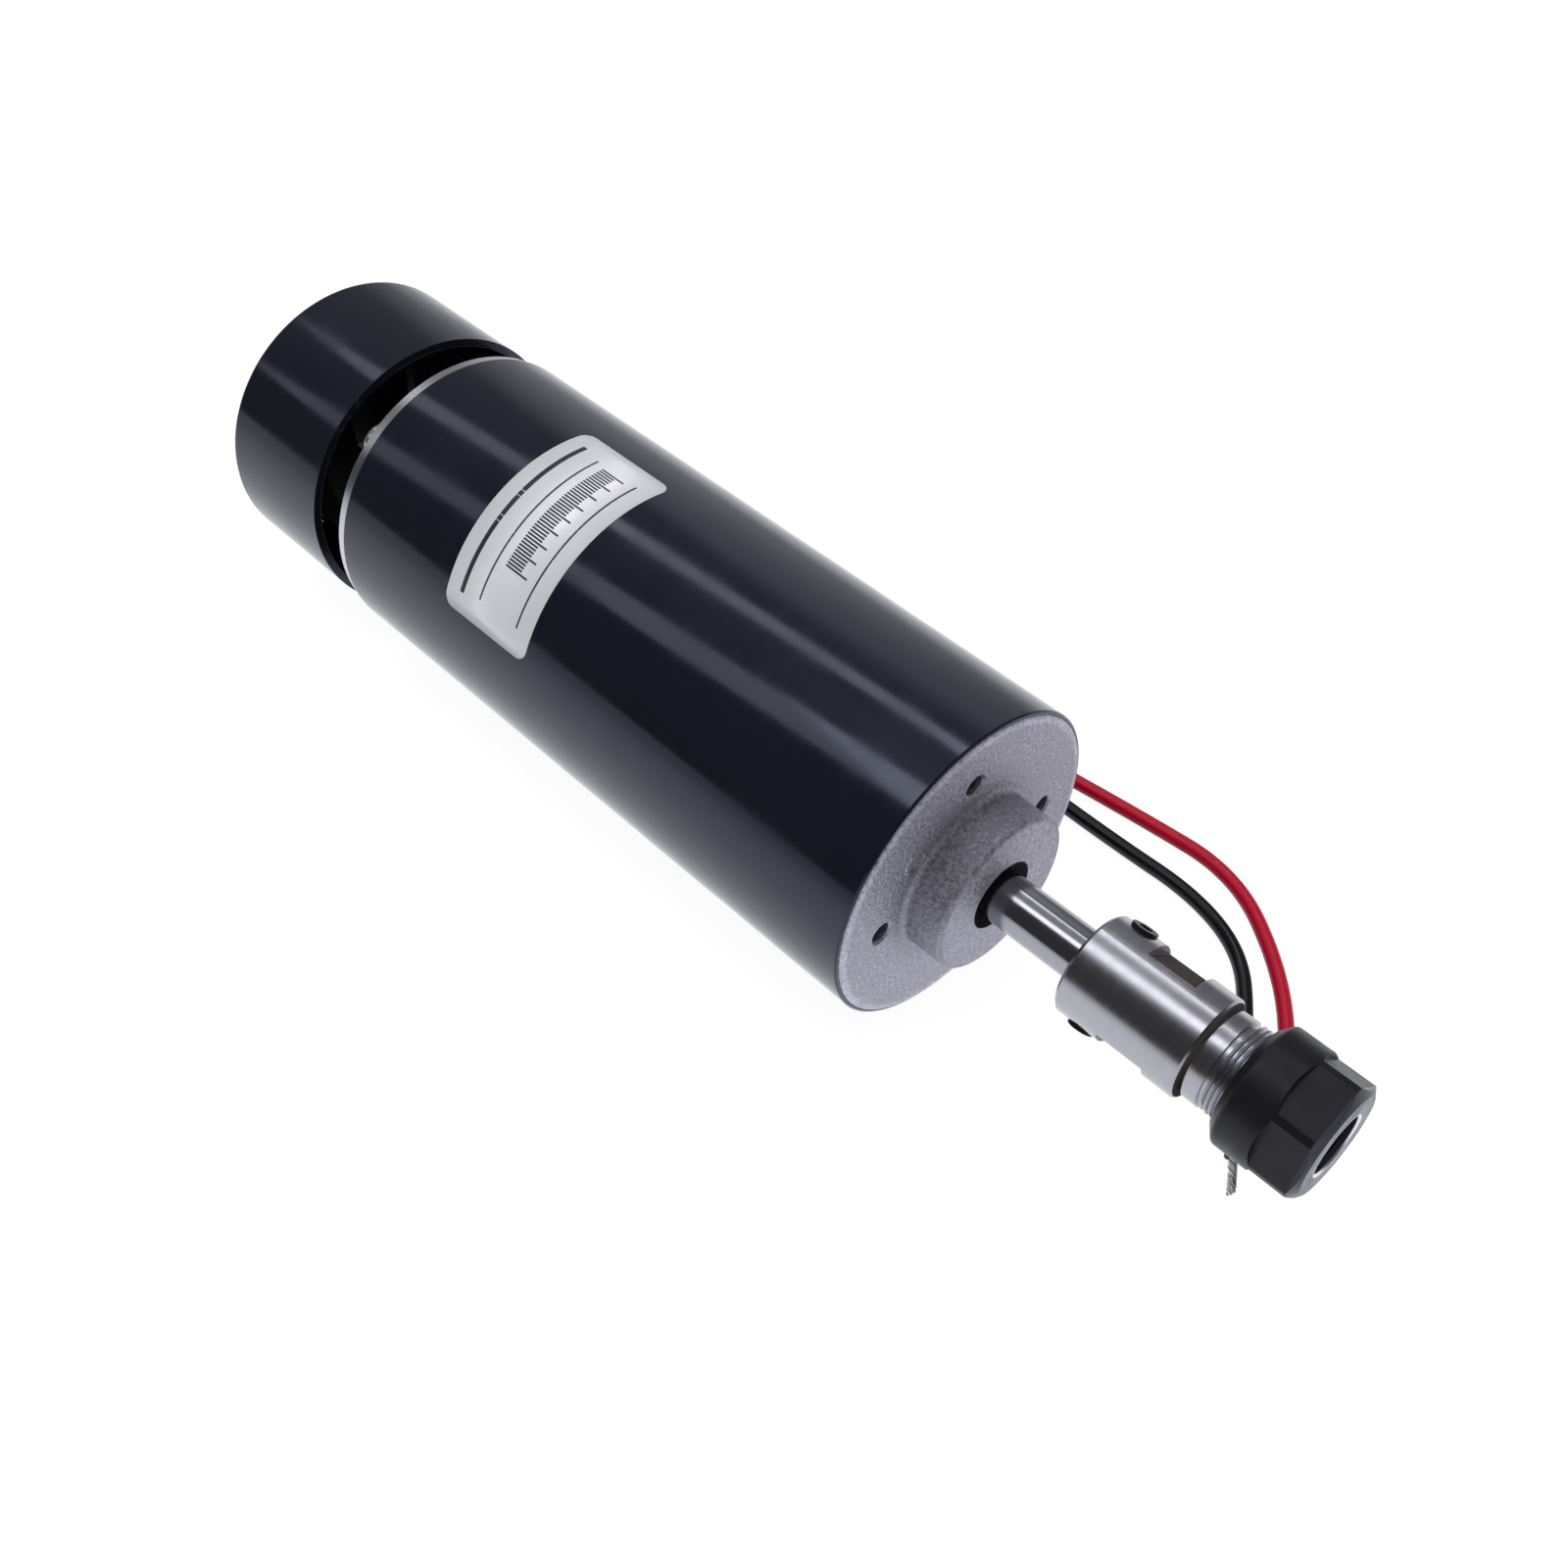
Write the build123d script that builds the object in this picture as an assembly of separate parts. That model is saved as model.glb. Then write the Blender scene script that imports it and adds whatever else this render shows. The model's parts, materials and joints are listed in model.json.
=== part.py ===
from build123d import *
import os
from math import cos, pi, radians, sin, tan

# Brushed DC motor spindle that lies on its side.
# The axis is X, with +X out of the tool end, and +Z is up.
# The origin is the centre of the front mounting face.
# Angles go round the axis from +Y towards +Z.

# Clearances
FIT = 0.01                # seats of bearings, caps and pressed pieces, on the radius
RUN = 0.05                # turning and sliding surfaces, on the radius or side
SEAT = 0.3                # loose neighbours that lie beside each other
THREAD_END = 0.5          # a tapped hole is this much deeper than its screw
OVER = 1.0                # how far a cutter runs past what it cuts

# Motor tube
TUBE_R = 26.0
TUBE_WALL = 2.0
TUBE_LENGTH = 116.0
TUBE_SETBACK = 0.4        # the cap's face stands this far out of the tube
TUBE_EDGE = 0.25          # edge break

# Front end cap
CAP_LIP = 0.6             # tube wall left round the cap's flange
CAP_FLANGE = 4.4          # flange thickness
CAP_ROUND = 0.55          # rounded lip of the face
CAP_SPIGOT = 6.0          # spigot behind the flange
CAP_SPIGOT_WALL = 5.6
BOSS_R = 13.0
BOSS_HEIGHT = 7.0
BOSS_ROOT = 0.9           # fillet where the boss meets the face
BOSS_EDGE = 0.7
BOSS_HOLE_R = 5.75
BOSS_WEB = 2.0            # web in front of the bearing
FACE_HOLE_R = 1.65        # tapped M4
FACE_HOLE_PCD = 34.5
FACE_HOLE_COUNT = 4
FACE_HOLE_ANGLE = -1.0
FACE_HOLE_SINK = 0.35     # chamfer at the mouth
CAP_COLLAR = 3.0          # collar that holds the front bearing, its wall and its length

# Rear end cap
REAR_RIM_STEP = 0.4       # its rim lies this far inside the tube's surface
REAR_FLANGE = 1.7
REAR_SPIGOT = 8.0
REAR_SPIGOT_WALL = 5.6
REAR_HUB_WALL = 2.5       # wall round the rear bearing
REAR_HOLE_R = 5.2
VENT_COUNT = 4
VENT_EDGE = 0.7           # between the vents and the walls inside and outside them
VENT_SPAN = 52.0

# Bearings, 8 x 22 x 7
BEARING_BORE_R = 4.0
BEARING_R = 11.0
BEARING_WIDTH = 7.0
INNER_RACE_R = 5.9
OUTER_RACE_R = 9.1
BALL_R = 1.98
BALL_COUNT = 7
CAGE_WALL = 1.2
CAGE_WIDTH = 4.8
WASHER_THICK = 0.5

# Field magnets
MAGNET_THICK = 4.4
MAGNET_OVERHANG = 2.0     # past each end of the core
MAGNET_SPAN = 136.0
MAGNET_ANGLE = 37.0       # the tie bolts pass between the magnets

# Armature
AIR_GAP = 0.7
CORE_LENGTH = 56.0
SLOT_COUNT = 12
SLOT_MOUTH = 1.6
SLOT_R = 2.5
SLOT_DEPTH = 7.5
END_TURN = 8.0
END_TURN_R_IN = 7.0
END_TURN_GAP = 1.2        # air between the end turns' rim and the slot bottoms
END_TURN_ROUND = 3.2
COMM_R = 11.0
COMM_LENGTH = 8.0
COMM_GAP = 0.6            # between the commutator and the end turns
COMM_BARS = 24
COMM_SLIT = 0.4
COMM_BAR_HEIGHT = 2.6

# Shaft
SHAFT_R = 4.0
SHAFT_BODY_R = 5.0
SHAFT_TIP = 38.4          # front end, inside the chuck
SHAFT_EDGE = 0.4
CLIP_THICK = 0.8
CLIP_R = 5.0
CLIP_GROOVE_R = 3.7
CLIP_MOUTH = 40.0

# Brush gear
PLATE_THICK = 1.5
PLATE_BORE_R = 13.0
BRUSH_WIDTH = 4.8         # along the axis
BRUSH_DEPTH = 6.8         # across the axis
BRUSH_LENGTH = 6.0
HOLDER_WALL = 0.8
HOLDER_GAP = 1.6          # between the commutator or the tube and a holder
SPRING_R = 1.7
SPRING_WIRE_R = 0.22
SPRING_TURNS = 4
PLATE_SCREW_R = 1.5
PLATE_SCREW_EDGE = 3.1    # from the plate's edge
PLATE_SCREW_HEAD_R = 2.4
PLATE_SCREW_HEAD = 1.4
PLATE_SCREW_BITE = 4.0
PLATE_SCREW_ANGLES = (0.0, 180.0)

# Long tie bolts, M4
TIE_R = 2.0
TIE_TO_WALL = 0.8         # between a bolt and the tube's wall
TIE_HEAD_R = 3.6
TIE_HEAD = 2.5
TIE_HEAD_ROUND = 1.1
TIE_SLOT = 0.9
TIE_SLOT_DEPTH = 1.25
TIE_BITE = 6.5            # thread depth in the front cap

# Fan cover
COVER_STEP = 0.5          # its surface lies this far inside the tube's
COVER_WALL = 1.4
COVER_GAP = 7.5           # air gap between the rear cap and the cover
COVER_LENGTH = 25.0
COVER_BACK = 2.4
COVER_ROUND = 0.9
POST_R = 2.2
GRILLE_SPOKES = 4
GRILLE_RINGS = 3
GRILLE_CORE_R = 5.0
GRILLE_BAR = 1.7          # between the rings of slots
GRILLE_RIM = 2.2          # between the slots and the screws' heads
GRILLE_WEB = 3.0
COVER_SCREW_R = 1.25
COVER_SCREW_HEAD_R = 2.3
COVER_SCREW_HEAD = 1.3
COVER_SCREW_BITE = 4.5
COVER_SCREW_KEY = 2.0     # hexagon socket, across flats
COVER_SCREW_KEY_DEPTH = 0.9

# Fan
FAN_TO_POSTS = 0.6        # between the blades' tips and the cover's posts
FAN_HUB_R = 7.0
FAN_LENGTH = 18.0
FAN_GAP = 6.9             # between the fan and the rear cap
FAN_BLADES = 9
FAN_DISC = 1.2            # closes the blades at the rear
BLADE_THICK = 1.2
BLADE_PITCH = -32.0

# Chuck
CHUCK_BITE = 15.2         # length of shaft inside the chuck
CHUCK_R = 8.0
CHUCK_BODY = 20.0
CHUCK_CHAMFER = 0.5       # at both ends
CHUCK_EDGE = 0.3          # at the groove
GROOVE_R = 6.3
GROOVE_WIDTH = 0.8
NECK_R = 6.95
NECK_PLAIN = 2.3          # between the groove and the thread
THREAD_ROOT_R = 6.5       # chuck's front end, under the nut's thread
CHUCK_LENGTH = 33.4
CHUCK_ANGLE = 46.0        # the way the flats and set screws face
FLAT_PLACE = 6.5          # wrench flats, 13 mm across
FLAT_FROM = 7.4           # from the chuck's rear face
FLAT_LENGTH = 7.7
SET_SCREW_R = 2.0
SET_SCREW_FROM = 3.9      # from the chuck's rear face
SET_SCREW_PROUD = 0.4
SET_SCREW_KEY = 2.0       # hexagon socket, across flats
SET_SCREW_KEY_DEPTH = 1.6
THROUGH_R = 3.2
TAPER_MOUTH_R = 5.45
TAPER = 8.0               # half angle of the collet's seat

# Collet
COLLET_PROUD = 5.0        # how far it stands out of the chuck
COLLET_LENGTH = 18.0
COLLET_TO_BOTTOM = 0.6    # between the collet and the taper's inner end
COLLET_NOSE_R = 4.9
COLLET_RIM_R = 5.75
COLLET_RIM = 1.4
COLLET_NECK_R = 4.75
COLLET_NECK = 1.6
COLLET_BORE_R = 1.5875
COLLET_SLITS = 6          # from each end
COLLET_SLIT_ANGLE = 75.0
COLLET_SLIT = 0.5
COLLET_SLIT_LEFT = 3.0    # length that each slit leaves uncut

# Collet nut
NUT_OVER = 1.6            # how far its mouth stands past the collet
NUT_LENGTH = 13.8
NUT_R = 9.5
NUT_FLAT = 8.5            # half the size across flats, 17 mm
NUT_SHOULDER_R = 7.9
NUT_SHOULDER = 1.3
NUT_SHOULDER_ROUND = 0.8
FLAT_RISE = 6.6           # where the flats run out, from the rear face
RUNOUT_R = 16.0
NUT_CHAMFER = 1.0
NUT_CHAMFER_DROP = 1.6
NUT_MOUTH_R = 4.6
NUT_MOUTH_EDGE = 0.3
NUT_CONE = 30.0           # half angle of the seat on the collet's nose
NUT_ANGLE = 14.0          # a corner of the hexagon

# Lead wires, which leave through a grommet in the rear cap
LEAD_R = 1.25
LEAD_TIN_R = 0.75
LEAD_PITCH = 4.6
LEAD_EDGE = 3.0           # from the rear cap's spigot surface
LEAD_ANGLE = -22.0
LEAD_TURN_X = -123.5      # where they turn outwards, in the air gap
LEAD_OUT_R = 30.8         # where they turn down, beside the housing
GROMMET_FLANGE = (12.0, 6.0)
GROMMET_NECK = (9.6, 4.4)
GROMMET_RISE = 1.0
GROMMET_BITE = 3.0
GROMMET_HOLD = 0.03
FLOOR = -TUBE_R


# Places that follow from the sizes above
TUBE_R_IN = TUBE_R - TUBE_WALL
TUBE_FRONT = -TUBE_SETBACK
TUBE_REAR = TUBE_FRONT - TUBE_LENGTH
CAP_R = TUBE_R - CAP_LIP
SPIGOT_R = TUBE_R_IN - FIT
FRONT_BEARING_X = BOSS_HEIGHT - BOSS_WEB - BEARING_WIDTH
REAR_FACE = TUBE_REAR - REAR_FLANGE
REAR_BEARING_X = TUBE_REAR + WASHER_THICK
CLIP_X = REAR_BEARING_X - CLIP_THICK
PLATE_X = TUBE_REAR + REAR_SPIGOT
COVER_FRONT = REAR_FACE - COVER_GAP
COVER_REAR = COVER_FRONT - COVER_LENGTH
REAR_FLANGE_R = TUBE_R - REAR_RIM_STEP
REAR_HUB_R = BEARING_R + FIT + REAR_HUB_WALL
VENT_R_IN = REAR_HUB_R + VENT_EDGE
VENT_R_OUT = SPIGOT_R - REAR_SPIGOT_WALL - VENT_EDGE
COVER_R = TUBE_R - COVER_STEP
POST_PLACE = COVER_R - COVER_WALL - SEAT - POST_R
GRILLE_R = POST_PLACE - COVER_SCREW_HEAD_R - GRILLE_RIM
GRILLE_SLOT = (GRILLE_R - GRILLE_CORE_R + GRILLE_BAR) / GRILLE_RINGS - GRILLE_BAR
POST_ANGLES = (MAGNET_ANGLE, MAGNET_ANGLE + 180)
TIE_PLACE = TUBE_R_IN - TIE_TO_WALL - TIE_R
TIE_ANGLES = (MAGNET_ANGLE + 90, MAGNET_ANGLE - 90)
FAN_R = POST_PLACE - POST_R - FAN_TO_POSTS
FAN_X = REAR_FACE - FAN_GAP - FAN_LENGTH
COMM_X = PLATE_X + PLATE_THICK + SEAT
BRUSH_X = COMM_X + COMM_LENGTH / 2
HOLDER_FROM = COMM_R + HOLDER_GAP
HOLDER_TO = TUBE_R_IN - HOLDER_GAP
PLATE_SCREW_PLACE = SPIGOT_R - PLATE_SCREW_EDGE
LEAD_PLACE = SPIGOT_R - LEAD_EDGE
CORE_X = COMM_X + COMM_LENGTH + COMM_GAP + END_TURN
CORE_END = CORE_X + CORE_LENGTH
CORE_R = TUBE_R_IN - MAGNET_THICK - AIR_GAP
TURN_R = CORE_R - END_TURN_GAP
CHUCK_X = SHAFT_TIP - CHUCK_BITE
CHUCK_FRONT = CHUCK_X + CHUCK_LENGTH
TAPER_DEPTH = COLLET_LENGTH - COLLET_PROUD + COLLET_TO_BOTTOM
COLLET_FRONT = CHUCK_FRONT + COLLET_PROUD
NUT_FRONT = COLLET_FRONT + NUT_OVER
NUT_X = NUT_FRONT - NUT_LENGTH
BALL_PLACE = (INNER_RACE_R + OUTER_RACE_R) / 2
FROM_LOW = (Align.CENTER, Align.CENTER, Align.MIN)


def rod(x0, x1, r):
    """Solid cylinder on the axis, from x0 to x1."""
    return Pos(x0, 0, 0) * Rot(0, 90, 0) * Cylinder(r, x1 - x0, align=FROM_LOW)


def sleeve(x0, x1, r_out, r_in):
    return rod(x0, x1, r_out) - rod(x0 - OVER, x1 + OVER, r_in)


def turned(points):
    """Revolve a closed outline of (x, radius) points about the axis."""
    outline = Polyline([(x, 0, r) for x, r in points], close=True)
    return revolve(make_face(outline), Axis.X)


def at_angle(angle):
    """Turn what was built upright, on +Z, to an angle round the axis."""
    return Rot(angle - 90, 0, 0)


def long_rod(x0, x1, r, place, angle):
    """Cylinder parallel to the axis, at a distance and an angle from it."""
    return at_angle(angle) * Pos(0, 0, place) * rod(x0, x1, r)


def radial_rod(x, r0, r1, r, angle):
    """Cylinder that points away from the axis, from radius r0 to r1."""
    return at_angle(angle) * Pos(x, 0, r0) * Cylinder(r, r1 - r0, align=FROM_LOW)


def sector(x0, x1, r_out, r_in, middle, span):
    """Part of a sleeve, span degrees wide, about the middle angle."""
    reach = 2 * r_out
    half = radians(span / 2)
    corners = [(0, 0)]
    for i in range(7):
        a = -half + 2 * half * i / 6
        corners.append((reach * sin(a), reach * cos(a)))
    outline = Polyline([(x0, y, z) for y, z in corners], close=True)
    wedge = extrude(make_face(outline), amount=x1 - x0, dir=(1, 0, 0))
    return sleeve(x0, x1, r_out, r_in) & (at_angle(middle) * wedge)


def slot_bar(x0, x1, size, place, angle):
    """Bar with round ends, parallel to the axis and long round it."""
    bar = extrude(SlotOverall(*size, rotation=90), amount=x1 - x0)
    return at_angle(angle) * Pos(x0, 0, place) * Rot(0, 90, 0) * bar


def hex_socket(across, z0, z1):
    return Pos(0, 0, z0) * extrude(RegularPolygon(across / 2, 6, major_radius=False), amount=z1 - z0)


# ---------------------------------------------------------------- stator
def make_motor_tube():
    tube = sleeve(TUBE_REAR, TUBE_FRONT, TUBE_R, TUBE_R_IN)
    seat = TUBE_FRONT - (CAP_FLANGE - TUBE_SETBACK)
    tube -= rod(seat, OVER, CAP_R + FIT)
    outer = [e for e in tube.edges().filter_by(GeomType.CIRCLE) if abs(e.radius - TUBE_R) < 0.001]
    return chamfer(outer, TUBE_EDGE)


def make_front_end_cap():
    seat_r = BEARING_R + FIT
    bearing_front = FRONT_BEARING_X + BEARING_WIDTH
    back = -CAP_FLANGE - CAP_SPIGOT
    cap = turned([
        (BOSS_HEIGHT, BOSS_HOLE_R),
        (BOSS_HEIGHT, BOSS_R),
        (0, BOSS_R),
        (0, CAP_R),
        (-CAP_FLANGE, CAP_R),
        (-CAP_FLANGE, SPIGOT_R),
        (back, SPIGOT_R),
        (back, SPIGOT_R - CAP_SPIGOT_WALL),
        (-CAP_FLANGE, SPIGOT_R - CAP_SPIGOT_WALL),
        (-CAP_FLANGE, seat_r + CAP_COLLAR),
        (FRONT_BEARING_X - CAP_COLLAR, seat_r + CAP_COLLAR),
        (FRONT_BEARING_X - CAP_COLLAR, seat_r),
        (bearing_front, seat_r),
        (bearing_front, BOSS_HOLE_R),
    ])
    root = [e for e in cap.edges().filter_by(GeomType.CIRCLE)
            if abs(e.radius - BOSS_R) < 0.001 and abs(e.center().X) < 0.001]
    cap = fillet(root, BOSS_ROOT)
    crown = [e for e in cap.edges().filter_by(GeomType.CIRCLE)
             if abs(e.radius - BOSS_R) < 0.001 and abs(e.center().X - BOSS_HEIGHT) < 0.001]
    cap = fillet(crown, BOSS_EDGE)
    lip = [e for e in cap.edges().filter_by(GeomType.CIRCLE)
           if abs(e.radius - CAP_R) < 0.001 and abs(e.center().X) < 0.001]
    cap = fillet(lip, CAP_ROUND)
    for i in range(FACE_HOLE_COUNT):
        angle = FACE_HOLE_ANGLE + 360 * i / FACE_HOLE_COUNT
        place = FACE_HOLE_PCD / 2
        cap -= long_rod(-CAP_FLANGE - OVER, OVER, FACE_HOLE_R, place, angle)
        sink = Pos(-FACE_HOLE_SINK, 0, 0) * Rot(0, 90, 0) * Cone(
            FACE_HOLE_R, FACE_HOLE_R + FACE_HOLE_SINK, FACE_HOLE_SINK, align=FROM_LOW
        )
        cap -= at_angle(angle) * Pos(0, 0, place) * sink
    for angle in TIE_ANGLES:
        cap -= long_rod(back - OVER, back + TIE_BITE, TIE_R + FIT, TIE_PLACE, angle)
    return cap


def make_rear_end_cap():
    seat_r = BEARING_R + FIT
    cap = turned([
        (REAR_FACE, REAR_HOLE_R),
        (REAR_FACE, REAR_FLANGE_R),
        (TUBE_REAR, REAR_FLANGE_R),
        (TUBE_REAR, SPIGOT_R),
        (PLATE_X, SPIGOT_R),
        (PLATE_X, SPIGOT_R - REAR_SPIGOT_WALL),
        (TUBE_REAR, SPIGOT_R - REAR_SPIGOT_WALL),
        (TUBE_REAR, REAR_HUB_R),
        (REAR_BEARING_X + BEARING_WIDTH, REAR_HUB_R),
        (REAR_BEARING_X + BEARING_WIDTH, seat_r),
        (TUBE_REAR, seat_r),
        (TUBE_REAR, REAR_HOLE_R),
    ])
    for i in range(VENT_COUNT):
        middle = MAGNET_ANGLE + 45 + 360 * i / VENT_COUNT
        cap -= sector(REAR_FACE - OVER, TUBE_REAR + OVER, VENT_R_OUT, VENT_R_IN, middle, VENT_SPAN)
    for angle in TIE_ANGLES:
        cap -= long_rod(REAR_FACE - OVER, PLATE_X + OVER, TIE_R + RUN, TIE_PLACE, angle)
    for angle in POST_ANGLES:
        depth = COVER_SCREW_BITE + THREAD_END
        cap -= long_rod(REAR_FACE - OVER, REAR_FACE + depth, COVER_SCREW_R + FIT, POST_PLACE, angle)
    for angle in PLATE_SCREW_ANGLES:
        depth = PLATE_SCREW_BITE + THREAD_END
        cap -= long_rod(PLATE_X - depth, PLATE_X + OVER, PLATE_SCREW_R + FIT, PLATE_SCREW_PLACE, angle)
    seat = [size + 2 * FIT for size in GROMMET_NECK]
    passage = (LEAD_PITCH + 2 * LEAD_R, 2 * LEAD_R)
    cap -= slot_bar(REAR_FACE - OVER, REAR_FACE + GROMMET_BITE, seat, LEAD_PLACE, LEAD_ANGLE)
    cap -= slot_bar(REAR_FACE - OVER, PLATE_X + OVER, passage, LEAD_PLACE, LEAD_ANGLE)
    return cap


def make_field_magnets():
    magnets = []
    x0 = CORE_X - MAGNET_OVERHANG
    x1 = CORE_END + MAGNET_OVERHANG
    for angle in (MAGNET_ANGLE, MAGNET_ANGLE + 180):
        magnets.append(sector(x0, x1, TUBE_R_IN - FIT, TUBE_R_IN - MAGNET_THICK, angle, MAGNET_SPAN))
    return magnets


def make_tie_bolts():
    tip = -CAP_FLANGE - CAP_SPIGOT + TIE_BITE - THREAD_END
    bolts = []
    for angle in TIE_ANGLES:
        head = rod(REAR_FACE - TIE_HEAD, REAR_FACE, TIE_HEAD_R)
        rims = head.edges().filter_by(GeomType.CIRCLE)
        crown = [e for e in rims if e.center().X < REAR_FACE - TIE_HEAD / 2]
        head = fillet(crown, TIE_HEAD_ROUND)
        for turn in (0, 90):
            cross = Box(2 * TIE_SLOT_DEPTH, TIE_HEAD_R * 1.1, TIE_SLOT)
            head -= Pos(REAR_FACE - TIE_HEAD, 0, 0) * Rot(turn, 0, 0) * cross
        bolt = head + rod(REAR_FACE, tip, TIE_R)
        bolts.append(at_angle(angle) * Pos(0, 0, TIE_PLACE) * bolt)
    return bolts


# -------------------------------------------------------------- bearings
def make_outer_race(x):
    race = sleeve(x, x + BEARING_WIDTH, BEARING_R, OUTER_RACE_R)
    return race - Pos(x + BEARING_WIDTH / 2, 0, 0) * Rot(0, 90, 0) * Torus(BALL_PLACE, BALL_R + RUN)


def make_inner_race(x):
    race = sleeve(x, x + BEARING_WIDTH, INNER_RACE_R, BEARING_BORE_R + FIT)
    return race - Pos(x + BEARING_WIDTH / 2, 0, 0) * Rot(0, 90, 0) * Torus(BALL_PLACE, BALL_R + RUN)


def ball_places(x):
    middle = x + BEARING_WIDTH / 2
    return [at_angle(360 * i / BALL_COUNT) * Pos(middle, 0, BALL_PLACE) for i in range(BALL_COUNT)]


def make_balls(x):
    return [place * Sphere(BALL_R) for place in ball_places(x)]


def make_cage(x):
    middle = x + BEARING_WIDTH / 2
    half = CAGE_WIDTH / 2
    cage = sleeve(middle - half, middle + half, BALL_PLACE + CAGE_WALL / 2, BALL_PLACE - CAGE_WALL / 2)
    for place in ball_places(x):
        cage -= place * Sphere(BALL_R + RUN)
    return cage


def make_wave_washer():
    return sleeve(TUBE_REAR, TUBE_REAR + WASHER_THICK, BEARING_R - SEAT, OUTER_RACE_R)


# ----------------------------------------------------------------- rotor
def make_shaft():
    front_shoulder = FRONT_BEARING_X
    rear_shoulder = REAR_BEARING_X + BEARING_WIDTH
    shaft = turned([
        (FAN_X, 0),
        (FAN_X, SHAFT_R - SHAFT_EDGE),
        (FAN_X + SHAFT_EDGE, SHAFT_R),
        (rear_shoulder, SHAFT_R),
        (rear_shoulder, SHAFT_BODY_R),
        (front_shoulder, SHAFT_BODY_R),
        (front_shoulder, SHAFT_R),
        (SHAFT_TIP - SHAFT_EDGE, SHAFT_R),
        (SHAFT_TIP, SHAFT_R - SHAFT_EDGE),
        (SHAFT_TIP, 0),
    ])
    return shaft - sleeve(CLIP_X, CLIP_X + CLIP_THICK, SHAFT_R + OVER, CLIP_GROOVE_R)


def make_shaft_circlip():
    ring = sleeve(CLIP_X, CLIP_X + CLIP_THICK, CLIP_R, CLIP_GROOVE_R + FIT)
    return ring - sector(CLIP_X - OVER, CLIP_X + CLIP_THICK + OVER, CLIP_R + OVER, OVER, -90, CLIP_MOUTH)


def slot_cutter():
    """One armature slot, upright: a round bottom below a narrow mouth."""
    centre = CORE_R - SLOT_DEPTH + SLOT_R
    round_part = Pos(0, 0, centre) * rod(CORE_X - OVER, CORE_END + OVER, SLOT_R)
    mouth = Box(CORE_LENGTH + 2 * OVER, SLOT_MOUTH, SLOT_DEPTH, align=FROM_LOW)
    return round_part + Pos((CORE_X + CORE_END) / 2, 0, centre) * mouth


def make_armature_core():
    core = sleeve(CORE_X, CORE_END, CORE_R, SHAFT_BODY_R + FIT)
    cutter = slot_cutter()
    for i in range(SLOT_COUNT):
        core -= at_angle(360 * i / SLOT_COUNT) * cutter
    return core


def end_turn(x0, x1):
    """Bundle of windings that bulges out of the core's end."""
    turn = sleeve(x0, x1, TURN_R, END_TURN_R_IN)
    rims = [e for e in turn.edges().filter_by(GeomType.CIRCLE) if abs(e.radius - TURN_R) < 0.001]
    return fillet(rims, END_TURN_ROUND)


def make_armature_windings():
    windings = end_turn(CORE_X - END_TURN, CORE_X - RUN) + end_turn(CORE_END + RUN, CORE_END + END_TURN)
    centre = CORE_R - SLOT_DEPTH + SLOT_R
    for i in range(SLOT_COUNT):
        bundle = rod(CORE_X - OVER, CORE_END + OVER, SLOT_R - RUN)
        windings += at_angle(360 * i / SLOT_COUNT) * Pos(0, 0, centre) * bundle
    return windings


def make_commutator_hub():
    return sleeve(COMM_X, COMM_X + COMM_LENGTH, COMM_R - COMM_BAR_HEIGHT - FIT, SHAFT_BODY_R + FIT)


def make_commutator_bars():
    pitch = 360 / COMM_BARS
    slit = COMM_SLIT / COMM_R * 180 / pi
    bars = []
    for i in range(COMM_BARS):
        inner_r = COMM_R - COMM_BAR_HEIGHT
        bars.append(sector(COMM_X, COMM_X + COMM_LENGTH, COMM_R, inner_r, i * pitch, pitch - slit))
    return bars


def make_cooling_fan():
    fan = rod(FAN_X, FAN_X + FAN_LENGTH, FAN_HUB_R) + rod(FAN_X, FAN_X + FAN_DISC, FAN_R)
    blade = Box(FAN_LENGTH, BLADE_THICK, FAN_R, align=FROM_LOW)
    blade = Pos(FAN_X + FAN_LENGTH / 2, 0, FAN_HUB_R - OVER) * Rot(0, 0, BLADE_PITCH) * blade
    fan += [at_angle(360 * i / FAN_BLADES) * blade for i in range(FAN_BLADES)]
    fan &= rod(FAN_X, FAN_X + FAN_LENGTH, FAN_R)
    return fan - rod(FAN_X - OVER, FAN_X + FAN_LENGTH + OVER, SHAFT_R + FIT)


# ------------------------------------------------------------ brush gear
def make_brush_plate():
    plate = sleeve(PLATE_X, PLATE_X + PLATE_THICK, SPIGOT_R, PLATE_BORE_R)
    front = PLATE_X + PLATE_THICK
    for angle in TIE_ANGLES:
        plate -= long_rod(PLATE_X - OVER, front + OVER, TIE_R + RUN, TIE_PLACE, angle)
    for angle in PLATE_SCREW_ANGLES:
        plate -= long_rod(PLATE_X - OVER, front + OVER, PLATE_SCREW_R + FIT, PLATE_SCREW_PLACE, angle)
    return plate


def make_brush_plate_screws():
    screws = []
    for angle in PLATE_SCREW_ANGLES:
        top = PLATE_X + PLATE_THICK
        head = rod(top, top + PLATE_SCREW_HEAD, PLATE_SCREW_HEAD_R)
        screw = head + rod(PLATE_X - PLATE_SCREW_BITE, top, PLATE_SCREW_R)
        screws.append(at_angle(angle) * Pos(0, 0, PLATE_SCREW_PLACE) * screw)
    return screws


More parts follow.
